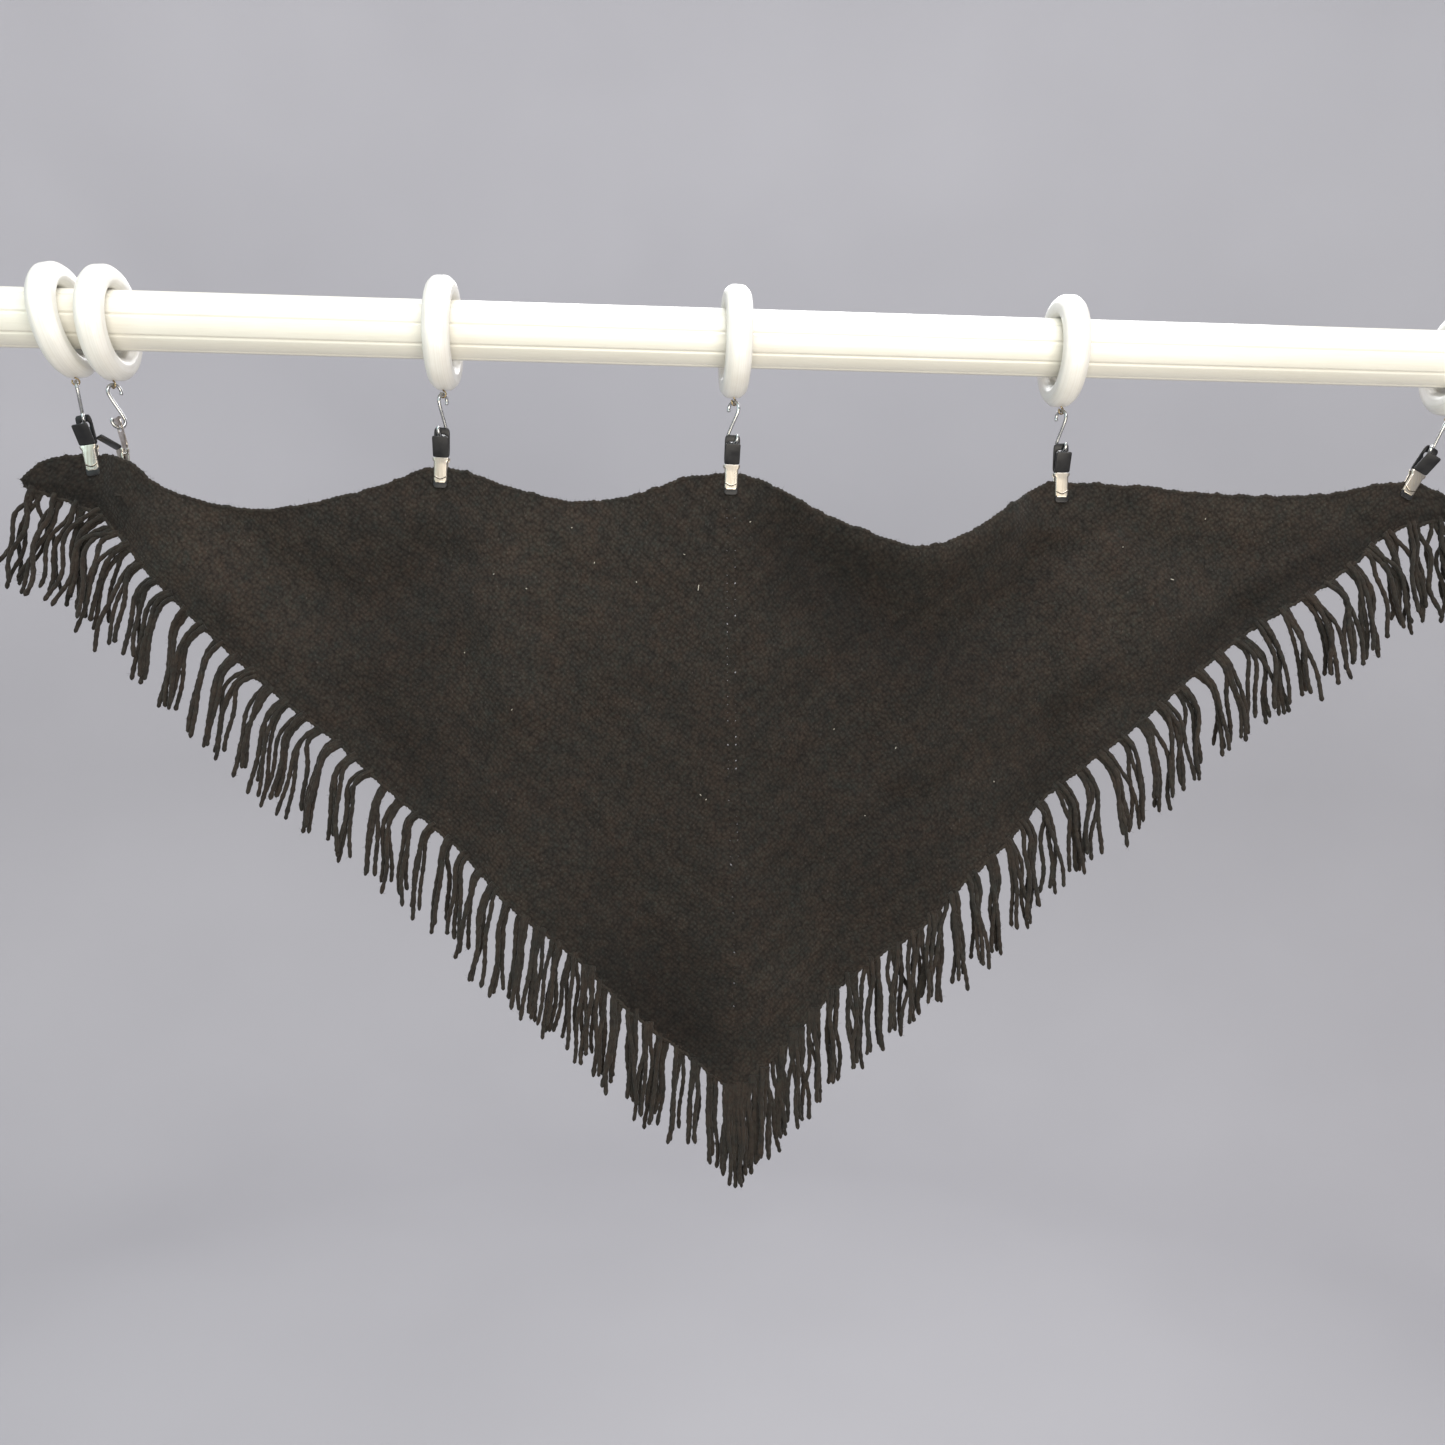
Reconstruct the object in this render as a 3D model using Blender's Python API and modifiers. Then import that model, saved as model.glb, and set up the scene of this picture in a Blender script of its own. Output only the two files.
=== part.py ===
# A triangular crochet shawl in dark wool, clipped by its long edge to six rings on a reeded curtain pole.
# The pole runs along X, with its axis through the origin just above the shawl's spine; -Y is the front.
import math
import random

import bmesh
import bpy
from mathutils import Matrix, Vector

MM = 0.001
SEAM = 0.3 * MM  # clearance where two pieces meet
SEED = 18

# Curtain pole, turned round with lengthwise grooves
POLE_RADIUS = 25.0 * MM
POLE_LENGTH = 1450.0 * MM
GROOVE_COUNT = 8
GROOVE_HALF_WIDTH = 1.3 * MM
GROOVE_DEPTH = 1.2 * MM
FIRST_GROOVE_ANGLE = 9.0  # degrees above the pole's front middle line

# Curtain ring, a turned section that is wider than it is deep
RING_OUTER_RADIUS = 48.0 * MM
RING_INNER_RADIUS = 28.6 * MM
RING_HALF_WIDTH = 11.2 * MM
RING_CROWN_HALF_WIDTH = 5.5 * MM
RING_CROWN_RISE = 5.0 * MM
RING_STEPS = 20

# Screw eye under each ring, and the S-hook that hangs in it
EYE_WIRE_RADIUS = 0.75 * MM
EYE_LOOP_RADIUS = 2.8 * MM
EYE_SHANK = 0.8 * MM
EYE_LOOP_SWEEP = 300.0  # degrees; the loop stays a little open
EYE_LOOP_STEPS = 9
HOOK_WIRE_RADIUS = 1.4 * MM
HOOK_ARC_RADIUS = 5.9 * MM
HOOK_HEIGHT = 36.6 * MM  # between the middles of the wire, top to bottom
HOOK_ARC_START = -15.0  # degrees
HOOK_ARC_SWEEP = 220.0  # degrees
HOOK_ARC_STEPS = 6

# Clip: a sprung jaw and two grips; depths are measured down from the middle of the screw eye
GRIP_TOP = 28.6 * MM
GRIP_WIDTH = 13.6 * MM
GRIP_THICKNESS = 1.8 * MM
GRIP_CORNER = 3.0 * MM
GRIP_HOLE_WIDTH = 8.0 * MM
GRIP_HOLE_HEIGHT = 5.6 * MM
GRIP_HOLE_TOP = 34.5 * MM
GRIP_LEAN = 8.0  # degrees that the rear grip leans back towards the jaw
FRONT_GRIP_LENGTH = 18.5 * MM
GRIP_SPREAD = 2.5 * MM  # from the clip's middle plane to the foot of each grip
GRIP_FOOT_GAP = 0.5 * MM  # room for the leaning rear grip's corner above the jaw
JAW_TOP = 54.9 * MM
JAW_SLOT_TOP = 60.0 * MM
JAW_TIP = 81.0 * MM
JAW_WIDTH = 12.2 * MM
JAW_SHEET = 1.0 * MM
JAW_SHOULDER = 3.7 * MM
JAW_CLEARANCE = 0.35 * MM  # between each sheet and the cloth

# Shawl cloth
WALL = 3.0 * MM
CLOTH_ROWS = 12
HELD_DEPTH = 24.0 * MM  # cloth below its top edge that the jaws hold flat
HELD_SHARE = 0.55
LONGEST_FACET = 38.0 * MM
CLIP_CALM_RADIUS = 22.0 * MM
CLIP_CALM_BLEND = 40.0 * MM
FOLD_SAMPLES = 12
SPINE_TOP = (-8.0 * MM, -119.0 * MM)  # x and z
SPINE_TIP = (4.0 * MM, -676.0 * MM)
SPINE_BAND = 17.0 * MM  # the wings lie in one plane this far on each side of the spine

# Fringe: a narrow header under the hem, with two locks of yarn to a tassel
HEADER_DEPTH = 4.0 * MM
HEADER_GAP = 0.4 * MM
LOCK_WIDTH = 4.4 * MM
LOCK_OFFSET = 3.2 * MM  # from the tassel's middle to each lock's middle
LOCK_SPREAD = 1.0  # degrees that the two locks of a tassel turn apart
LOCK_JITTER = 0.8  # degrees
LOCK_SWAY = 5.0  # degrees forwards or back
LOCK_LENGTH_JITTER = 5.0 * MM
STRIPS_PER_WING = 3

# Ring stations from left to right: x of the ring's middle (mm), the ring's tilt and the lean of its hook and
# clip (degrees, positive where the lower end swings to +X), the hook's turn about its own length, the front
# grip's splay, and the rear grip's thickness (mm), thinner where the vinyl sleeve is gone
STATION_COLUMNS = ("name", "x", "tilt", "lean", "hook_turn", "splay", "rear_grip")
STATIONS = [
    ("a", -581.5, 10.0, 10.6, 113.0, 28.0, 1.8),
    ("b", -543.5, 3.0, 7.0, 50.0, 58.0, 1.0),
    ("c", -260.0, 0.0, -1.5, 65.0, 24.0, 1.8),
    ("d", -6.5, 0.0, -1.0, 135.0, 24.0, 1.8),
    ("e", 285.5, 0.0, 2.0, 118.0, 24.0, 1.8),
    ("f", 648.0, -8.0, -28.0, 58.5, 32.0, 1.8),
]

# Sections of the cloth, each a line from the top edge down to the hem (mm)
SECTION_COLUMNS = ("top_x", "top_z", "top_y", "hem_x", "hem_z", "hem_y")
LEFT_SECTIONS = [
    (-621, -137, 4, -619, -143, 4),
    (-606, -125, 2, -606, -147, 5),
    (-588, -118, 0, -589, -153, 5),
    (-571, -116, 0, -573, -158, 4),
    (-549.5, -116, 0, -550, -169, 3),
    (-545.5, -116.5, 8, -546, -174, 4),
    (-541.5, -117, 0, -541, -181, 3),
    (-524, -122, 0, -518, -208, -2),
    (-503, -140, -5, -497, -230, -6),
    (-465, -153, -6, -460, -266, -6),
    (-420, -158, 0, -412, -314, 2),
    (-365, -150, 5, -355, -361, 5),
    (-310, -134, 3, -305, -408, 6),
    (-275, -120, 0, -270, -434, 2),
    (-248, -120.5, 0, -243, -456, -3),
    (-200, -135.5, -4, -196, -508, -6),
    (-145, -146, 2, -142, -553, 2),
    (-95, -139, 2, -92, -603, 5),
    (-50, -124, 0, -44, -642, 3),
    (-24, -119.5, 0, -12, -664, -2),
    (-8.2, -119, 0, 3.8, -676, -2),
]
RIGHT_SECTIONS = [
    (-7.8, -119, 0, 4.2, -676, -2),
    (8, -120, 0, 20, -662, -2),
    (32, -131, -2, 47, -638, 2),
    (72, -151, -3, 88, -592, 4),
    (120, -171, -4, 132, -553, 2),
    (155, -180, -4, 172, -525, -2),
    (195, -170, -4, 212, -479, -4),
    (235, -144, -2, 255, -441, 2),
    (274, -120.5, 0, 288, -402, 5),
    (302, -119.5, 0, 318, -375, 2),
    (355, -121, -3, 366, -335, -3),
    (415, -125, 2, 420, -289, 3),
    (470, -127, 2, 474, -245, 4),
    (530, -124, -2, 528, -209, -2),
    (570, -116, 0, 566, -180, -4),
    (590, -113, 0, 585, -162, 0),
    (612, -111, 0, 607, -150, 2),
    (626, -116, 0, 625, -147, 3),
    (643, -124, -2, 641, -143, 3),
    (660, -136, -4, 656, -149, 2),
    (674, -150, -4, 670, -156, 0),
]

# Folds: each starts, passes a middle point and ends (x, z in mm). Its width is where it has faded to about a
# third, and its depth is positive for a trough and negative for a ridge towards the front.
FOLD_COLUMNS = ("name", "x1", "z1", "x2", "z2", "x3", "z3", "width", "depth")
FOLDS = [
    ("cowl lip", 42, -128, 155, -182, 262, -130, 26, -22),
    ("cowl scoop", 62, -150, 172, -246, 278, -178, 32, 17),
    ("fall below the third ring", -250, -150, -222, -235, -195, -318, 30, -10),
    ("swell left of the spine", -150, -175, -131, -228, -118, -290, 28, -7),
    ("fall below the fifth ring", 288, -150, 296, -215, 318, -280, 28, -9),
    ("swag between second and third rings", -440, -175, -350, -235, -262, -195, 34, 12),
    ("left shoulder", -505, -165, -478, -195, -450, -235, 28, -9),
    ("left hem hollow", -335, -325, -312, -362, -290, -398, 26, 9),
    ("hollow left of the tip", -100, -500, -66, -560, -30, -625, 30, 8),
    ("spine ridge", 0, -480, 0, -570, 4, -660, 24, -5),
    ("right low crease", 157, -410, 220, -380, 285, -352, 22, 7),
    ("right middle crease", 297, -333, 338, -320, 378, -305, 20, 6),
    ("right hem hollow", 262, -425, 280, -393, 300, -360, 22, 6),
    ("right hem wave", 415, -285, 434, -260, 462, -228, 22, 7),
    ("swag between last two rings", 340, -150, 450, -180, 555, -142, 28, 7),
]

# Tassels of each wing: how many, and for their corner and tip ends the lean from upright (degrees, outwards)
FRINGE_COLUMNS = ("side", "tassels", "corner_lean", "tip_lean")
FRINGES = [
    ("left", 44, 24.0, 3.0),
    ("right", 37, 24.0, 3.0),
]
# Lock segments: length (mm), how far the lock has turned from the hem's perpendicular to its fall, and the
# size of its lower end (mm)
SEGMENT_COLUMNS = ("length", "turned", "width", "depth")
LOCK_SEGMENTS = [
    (13, 0.45, 4.2, 3.4),
    (29, 0.9, 3.9, 3.6),
    (39, 1.0, 2.6, 2.4),
]

# Finishes: colour, roughness, metallic
FINISHES = {
    "painted wood": ((0.86, 0.85, 0.80), 0.45, 0.0),
    "brass": ((0.42, 0.33, 0.20), 0.35, 1.0),
    "chrome": ((0.80, 0.81, 0.82), 0.12, 1.0),
    "nickel": ((0.68, 0.64, 0.58), 0.35, 1.0),
    "vinyl": ((0.015, 0.016, 0.018), 0.40, 0.0),
    "wool": ((0.040, 0.034, 0.029), 0.95, 0.0),
    "fringe wool": ((0.034, 0.032, 0.025), 0.95, 0.0),
}


def rows_of(columns, table):
    return [dict(zip(columns, row)) for row in table]


def smooth(t):
    t = min(max(t, 0.0), 1.0)
    return t * t * (3.0 - 2.0 * t)


def clear_scene():
    for old in list(bpy.data.objects):
        bpy.data.objects.remove(old, do_unlink=True)


def make_collection(name):
    group = bpy.data.collections.new(name)
    bpy.context.scene.collection.children.link(group)
    return group


def make_finish(name):
    colour, roughness, metallic = FINISHES[name]
    finish = bpy.data.materials.new(name)
    finish.use_nodes = True
    shader = finish.node_tree.nodes["Principled BSDF"]
    shader.inputs["Base Color"].default_value = (*colour, 1.0)
    shader.inputs["Roughness"].default_value = roughness
    shader.inputs["Metallic"].default_value = metallic
    return finish


def add_object(name, data, finish, place=Matrix.Identity(4)):
    item = bpy.data.objects.new(name, data)
    data.materials.append(finish)
    item.matrix_world = place
    parts.objects.link(item)
    return item


def wire(name, points, radius, finish, place):
    curve = bpy.data.curves.new(name, "CURVE")
    curve.dimensions = "3D"
    curve.bevel_depth = radius
    curve.bevel_resolution = 2
    curve.use_fill_caps = True
    spline = curve.splines.new("POLY")
    spline.points.add(len(points) - 1)
    for knot, point in zip(spline.points, points):
        knot.co = (*point, 1.0)
    return add_object(name, curve, finish, place)


def plate(name, outlines, thickness, finish, place):
    curve = bpy.data.curves.new(name, "CURVE")
    curve.dimensions = "2D"
    curve.fill_mode = "BOTH"
    curve.extrude = thickness / 2
    for outline in outlines:
        spline = curve.splines.new("POLY")
        spline.points.add(len(outline) - 1)
        spline.use_cyclic_u = True
        for knot, (x, y) in zip(spline.points, outline):
            knot.co = (x, y, 0.0, 1.0)
    return add_object(name, curve, finish, place)


def arc(centre_x, centre_y, radius, first, last, steps):
    angles = [math.radians(first + (last - first) * k / steps) for k in range(steps + 1)]
    return [(centre_x + radius * math.cos(a), centre_y + radius * math.sin(a)) for a in angles]


# The plane of a 2D outline turned so that its x and y become Y and Z, with its thickness along X
SIDE_ON = Matrix(((0, 0, 1, 0), (1, 0, 0, 0), (0, 1, 0, 0), (0, 0, 0, 1)))
# The same for x and y becoming X and Z, with its thickness along Y
FACE_ON = Matrix.Rotation(math.pi / 2, 4, "X")


def make_pole(finish):
    outline = []
    half_groove = math.degrees(GROOVE_HALF_WIDTH / POLE_RADIUS)
    sector = 360.0 / GROOVE_COUNT
    for k in range(GROOVE_COUNT):
        middle = 180.0 - FIRST_GROOVE_ANGLE + sector * k
        floor_angle = math.radians(middle)
        floor_radius = POLE_RADIUS - GROOVE_DEPTH
        outline.append((floor_radius * math.cos(floor_angle), floor_radius * math.sin(floor_angle)))
        outline += arc(0, 0, POLE_RADIUS, middle + half_groove, middle + sector - half_groove, 3)
    return plate("curtain_pole", [outline], POLE_LENGTH, finish, SIDE_ON)


def ring_drop(tilt):
    # How far the ring's middle hangs below the pole's axis: the edge of its flat inner band rests on the pole
    angle = math.radians(abs(tilt))
    flat_reach = RING_INNER_RADIUS * math.cos(math.pi / RING_STEPS)
    rest = flat_reach * math.cos(angle) - RING_CROWN_HALF_WIDTH * math.sin(angle)
    return rest - POLE_RADIUS - SEAM


def make_ring(station, finish):
    # The section runs down the ring's outer side and back up its inner side, then spins about X
    shoulder = RING_OUTER_RADIUS - RING_CROWN_RISE
    foot = RING_INNER_RADIUS + RING_CROWN_RISE
    section = [
        (-RING_CROWN_HALF_WIDTH, RING_OUTER_RADIUS),
        (RING_CROWN_HALF_WIDTH, RING_OUTER_RADIUS),
        (RING_HALF_WIDTH, shoulder),
        (RING_HALF_WIDTH, foot),
        (RING_CROWN_HALF_WIDTH, RING_INNER_RADIUS),
        (-RING_CROWN_HALF_WIDTH, RING_INNER_RADIUS),
        (-RING_HALF_WIDTH, foot),
        (-RING_HALF_WIDTH, shoulder),
    ]
    mesh = bpy.data.meshes.new("ring_" + station["name"])
    form = bmesh.new()
    loop = [form.verts.new((x, 0.0, z)) for x, z in section]
    for here, after in zip(loop, loop[1:] + loop[:1]):
        form.edges.new((after, here))
    form.to_mesh(mesh)
    form.free()
    place = Matrix.Translation((station["x"] * MM, 0.0, -ring_drop(station["tilt"])))
    place = place @ Matrix.Rotation(-math.radians(station["tilt"]), 4, "Y")
    item = add_object("ring_" + station["name"], mesh, finish, place)
    spin = item.modifiers.new("spin", "SCREW")
    spin.axis = "X"
    spin.steps = RING_STEPS
    spin.render_steps = RING_STEPS
    spin.use_merge_vertices = True
    spin.merge_threshold = 0.00001
    return place


def eye_place(station, ring_place):
    # Middle of the screw eye's loop, in the ring's own tilt
    reach = RING_OUTER_RADIUS + SEAM + EYE_SHANK + EYE_LOOP_RADIUS
    return ring_place @ Matrix.Translation((0.0, 0.0, -reach))


def make_eye(station, place, finish):
    # Shank, then the loop, in a plane across the hook's wire
    turn = Matrix.Rotation(math.radians(station["hook_turn"]), 4, "Z")
    loop = arc(0, 0, EYE_LOOP_RADIUS, 90.0, 90.0 + EYE_LOOP_SWEEP, EYE_LOOP_STEPS)
    points = [(0.0, 0.0, EYE_LOOP_RADIUS + EYE_SHANK)]
    points += [(0.0, y, z) for y, z in loop]
    wire("screw_eye_" + station["name"], points, EYE_WIRE_RADIUS, finish, place @ turn)


def make_hook(station, place, finish):
    turn = Matrix.Rotation(math.radians(station["hook_turn"]), 4, "Z")
    arc_end = HOOK_ARC_START + HOOK_ARC_SWEEP
    upper = arc(0, -HOOK_ARC_RADIUS, HOOK_ARC_RADIUS, HOOK_ARC_START, arc_end, HOOK_ARC_STEPS)
    lower = [(-x, -HOOK_HEIGHT - z) for x, z in reversed(upper)]
    points = [(x, 0.0, z) for x, z in upper + lower]
    wire("s_hook_" + station["name"], points, HOOK_WIRE_RADIUS, finish, place @ turn)


def rounded_end(width, low, high, corner):
    # Outline of a strip with its two upper corners cut round
    half = width / 2
    right = arc(half - corner, high - corner, corner, 0.0, 90.0, 3)
    left = [(-x, y) for x, y in reversed(right)]
    return [(-half, low), (half, low)] + right + left


def make_clip(station, place, metal, vinyl, bare_metal):
    name = "clip_" + station["name"]
    # Jaw: a fork whose two sprung sheets stand one on each side of the cloth
    slot = WALL / 2 + JAW_CLEARANCE
    outside = slot + JAW_SHEET
    half_fork = [
        (slot, -JAW_SLOT_TOP),
        (slot, -JAW_TIP),
        (outside, -JAW_TIP),
        (JAW_SHOULDER, -JAW_SLOT_TOP),
        (JAW_SHOULDER, -JAW_TOP),
    ]
    fork = half_fork + [(-y, z) for y, z in reversed(half_fork)]
    plate(name + "_jaw", [fork], JAW_WIDTH, metal, place @ SIDE_ON)
    # Rear grip: the hook passes through its slot, and it leans back to its foot on the jaw
    thickness = station["rear_grip"] * MM
    hole_middle = -(GRIP_HOLE_TOP + GRIP_HOLE_HEIGHT / 2)
    foot = -(JAW_TOP - GRIP_FOOT_GAP)
    outline = rounded_end(GRIP_WIDTH, foot, -GRIP_TOP, GRIP_CORNER)
    end_radius = GRIP_HOLE_HEIGHT / 2
    straight = GRIP_HOLE_WIDTH / 2 - end_radius
    hole = arc(straight, hole_middle, end_radius, -90.0, 90.0, 4)
    hole += arc(-straight, hole_middle, end_radius, 90.0, 270.0, 4)
    hang = Matrix.Translation((0.0, 0.0, -GRIP_HOLE_TOP))
    lean = hang @ Matrix.Rotation(math.radians(GRIP_LEAN), 4, "X") @ hang.inverted()
    rear_finish = vinyl if thickness >= GRIP_THICKNESS else bare_metal
    plate(name + "_rear_grip", [outline, hole], thickness, rear_finish, place @ lean @ FACE_ON)
    # Front grip: shorter, and splayed forwards from the jaw
    splay = math.radians(station["splay"])
    rise = SEAM + GRIP_THICKNESS / 2 * math.sin(splay)
    base = Matrix.Translation((0.0, -GRIP_SPREAD, -JAW_TOP + rise))
    tongue = rounded_end(GRIP_WIDTH, 0.0, FRONT_GRIP_LENGTH, GRIP_CORNER)
    swing = base @ Matrix.Rotation(splay, 4, "X")
    plate(name + "_front_grip", [tongue], GRIP_THICKNESS, vinyl, place @ swing @ FACE_ON)


def make_station(station):
    ring_place = make_ring(station, finishes["painted wood"])
    eye = eye_place(station, ring_place)
    hang = Matrix.Translation(eye.translation) @ Matrix.Rotation(-math.radians(station["lean"]), 4, "Y")
    make_eye(station, eye, finishes["brass"])
    make_hook(station, hang, finishes["chrome"])
    make_clip(station, hang, finishes["nickel"], finishes["vinyl"], finishes["chrome"])
    # The cloth stays calm around the middle of the jaw's slot
    return hang @ Vector((0.0, 0.0, -(JAW_SLOT_TOP + JAW_TIP) / 2))


def fold_line(fold):
    # Points along the curve that starts, passes the middle point and ends
    start = Vector((fold["x1"], fold["z1"])) * MM
    middle = Vector((fold["x2"], fold["z2"])) * MM
    end = Vector((fold["x3"], fold["z3"])) * MM
    bend = middle * 2 - (start + end) / 2
    line = []
    for k in range(FOLD_SAMPLES + 1):
        t = k / FOLD_SAMPLES
        line.append(start * (1 - t) ** 2 + bend * 2 * t * (1 - t) + end * t * t)
    return line


def distance_to_line(point, line):
    nearest = 1.0
    for a, b in zip(line, line[1:]):
        along = b - a
        t = min(max((point - a).dot(along) / along.length_squared, 0.0), 1.0)
        nearest = min(nearest, (point - a - along * t).length)
    return nearest


def fold_depth(x, z):
    # No fold turns across the spine, so the two wings meet edge to edge
    spine_share = (z - SPINE_TOP[1]) / (SPINE_TIP[1] - SPINE_TOP[1])
    spine_x = SPINE_TOP[0] + (SPINE_TIP[0] - SPINE_TOP[0]) * spine_share
    if abs(x - spine_x) < SPINE_BAND:
        x = spine_x
    point = Vector((x, z))
    depth = 0.0
    for line, width, rise in fold_lines:
        depth += rise * math.exp(-((distance_to_line(point, line) / width) ** 2))
    for held in held_points:
        away = math.hypot(x - held.x, z - held.z)
        depth *= smooth((away - CLIP_CALM_RADIUS) / CLIP_CALM_BLEND)
    return depth


def spread_sections(table):
    # The table's sections, with more between two that are far apart, on a smooth curve through them all
    rows = [[value * MM for value in row] for row in table]
    spread = []
    for k in range(len(rows) - 1):
        before, here = rows[max(k - 1, 0)], rows[k]
        after, beyond = rows[k + 1], rows[min(k + 2, len(rows) - 1)]
        span = math.hypot(after[3] - here[3], after[4] - here[4])
        pieces = math.ceil(span / LONGEST_FACET)
        for step in range(pieces):
            t = step / pieces
            section = []
            for p0, p1, p2, p3 in zip(before, here, after, beyond):
                bend = 2 * p1 + (p2 - p0) * t + (2 * p0 - 5 * p1 + 4 * p2 - p3) * t ** 2
                section.append((bend + (3 * p1 - p0 - 3 * p2 + p3) * t ** 3) / 2)
            spread.append(dict(zip(SECTION_COLUMNS, section)))
    spread.append(dict(zip(SECTION_COLUMNS, rows[-1])))
    return spread


def cloth_point(section, row):
    # Row 0 is the top edge, row 1 the foot of what the jaws hold, and the last row the hem
    fall = math.hypot(section["hem_x"] - section["top_x"], section["hem_z"] - section["top_z"])
    held = min(HELD_DEPTH / fall, HELD_SHARE)
    share = held * row if row < 2 else held + (1.0 - held) * (row - 1) / (CLOTH_ROWS - 1)
    x = section["top_x"] + (section["hem_x"] - section["top_x"]) * share
    z = section["top_z"] + (section["hem_z"] - section["top_z"]) * share
    loosened = smooth((share - held) / (1.0 - held))
    y = section["top_y"] * (1.0 - loosened) + section["hem_y"] * loosened
    return Vector((x, y + fold_depth(x, z), z))


def make_wing(name, table, finish):
    sections = spread_sections(table)
    columns = len(sections) - 1
    mesh = bpy.data.meshes.new(name)
    form = bmesh.new()
    bmesh.ops.create_grid(form, x_segments=columns, y_segments=CLOTH_ROWS, size=1.0)
    for vert in form.verts:
        column = round((vert.co.x + 1.0) / 2.0 * columns)
        row = round((1.0 - vert.co.y) / 2.0 * CLOTH_ROWS)
        vert.co = cloth_point(sections[column], row)
    form.to_mesh(mesh)
    form.free()
    mesh.shade_smooth()
    item = add_object(name, mesh, finish)
    wall = item.modifiers.new("wall", "SOLIDIFY")
    wall.thickness = WALL
    wall.offset = 0.0
    wall.use_even_offset = True
    hem = [cloth_point(section, CLOTH_ROWS) for section in sections]
    above = [cloth_point(section, CLOTH_ROWS - 1) for section in sections]
    return hem, above


def walk_hem(hem, above):
    # A function that gives the point, the way out of the cloth and its face normal at a length along the hem
    lengths = [0.0]
    for a, b in zip(hem, hem[1:]):
        lengths.append(lengths[-1] + (b - a).length)
    outs = []
    faces = []
    for k, corner in enumerate(hem):
        along = (hem[min(k + 1, len(hem) - 1)] - hem[max(k - 1, 0)]).normalized()
        down = corner - above[k]
        out = (down - along * down.dot(along)).normalized()
        face = along.cross(out).normalized()
        outs.append(out)
        faces.append(face if face.y < 0 else -face)

    def at(length):
        k = 0
        while k < len(hem) - 2 and lengths[k + 1] < length:
            k += 1
        t = (length - lengths[k]) / (lengths[k + 1] - lengths[k])
        out = outs[k].lerp(outs[k + 1], t).normalized()
        return hem[k].lerp(hem[k + 1], t), out, faces[k].lerp(faces[k + 1], t).normalized()

    return at, lengths


def grow_lock(form, face, out, fall, sway, longer):
    # Extrudes one face of the header into a lock that turns from the hem's perpendicular to its own fall
    for segment in rows_of(SEGMENT_COLUMNS, LOCK_SEGMENTS):
        face = bmesh.ops.extrude_discrete_faces(form, faces=[face])["faces"][0]
        heading = out.lerp(fall, segment["turned"]).normalized()
        heading = (heading + Vector((0.0, sway * segment["turned"], 0.0))).normalized()
        middle = face.calc_center_median()
        target = middle + heading * (segment["length"] * MM + longer / len(LOCK_SEGMENTS))
        across = (face.verts[1].co - face.verts[0].co)
        deep = (face.verts[2].co - face.verts[1].co)
        if abs(across.normalized().y) > abs(deep.normalized().y):
            across, deep = deep, across
        deep = deep.normalized()
        deep = (deep - heading * deep.dot(heading)).normalized()
        across_way = heading.cross(deep).normalized()
        if across_way.dot(across) < 0:
            across_way = -across_way
        for vert in face.verts:
            offset = vert.co - middle
            side = math.copysign(segment["width"] * MM / 2, offset.dot(across))
            front = math.copysign(segment["depth"] * MM / 2, offset.dot(deep))
            vert.co = target + across_way * side + deep * front


def header_stops(first, last, tassels, bends):
    # Lengths along the hem where the header has a section: its ends, both sides of every lock, and the
    # cloth's own bends where no lock stands over them. Each comes with whether a lock begins there.
    stops = [(first, False), (last, False)]
    for middle in tassels:
        for lock in (-LOCK_OFFSET, LOCK_OFFSET):
            start = middle + lock - LOCK_WIDTH / 2
            stops += [(start, True), (start + LOCK_WIDTH, False)]
    clear = LOCK_OFFSET + LOCK_WIDTH / 2 + MM
    for bend in bends:
        if first + MM < bend < last - MM and all(abs(bend - middle) > clear for middle in tassels):
            stops.append((bend, False))
    return sorted(stops)


def make_strip(name, at, stops, leans, side, finish, dice):
    mesh = bpy.data.meshes.new(name)
    form = bmesh.new()
    start, out, face = at(stops[0][0])
    outer, inner = HEADER_GAP + HEADER_DEPTH, HEADER_GAP
    corners = [(inner, -1), (inner, 1), (outer, 1), (outer, -1)]
    ring = [form.verts.new(start + out * o + face * f * WALL / 2) for o, f in corners]
    end = form.faces.new(ring)
    roots = []
    for (_, lock_begins), (length, _) in zip(stops, stops[1:]):
        grown = bmesh.ops.extrude_discrete_faces(form, faces=[end])["faces"][0]
        point, out, face = at(length)
        for vert, (o, f) in zip(grown.verts, corners):
            vert.co = point + out * o + face * f * WALL / 2
        if lock_begins:
            low_edge = set(grown.verts[2].link_faces) & set(grown.verts[3].link_faces)
            low_edge.discard(grown)
            roots.append((low_edge.pop(), out))
        end = grown
    # The extrusion uses up its starting face, so the header's first end is closed again
    bmesh.ops.holes_fill(form, edges=[edge for edge in form.edges if edge.is_boundary], sides=4)
    for index, (root, out) in enumerate(roots):
        if index % 2 == 0:
            jitter = dice.uniform(-LOCK_JITTER, LOCK_JITTER)
            sway = math.radians(dice.uniform(-LOCK_SWAY, LOCK_SWAY))
        spread = LOCK_SPREAD * (1 if index % 2 == 0 else -1) * -side
        lean = math.radians(leans[index // 2] + jitter + spread)
        fall = Vector((side * math.sin(lean), 0.0, -math.cos(lean)))
        grow_lock(form, root, out, fall, sway, dice.uniform(-LOCK_LENGTH_JITTER, LOCK_LENGTH_JITTER))
    bmesh.ops.recalc_face_normals(form, faces=form.faces)
    form.to_mesh(mesh)
    form.free()
    add_object(name, mesh, finish)


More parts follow.
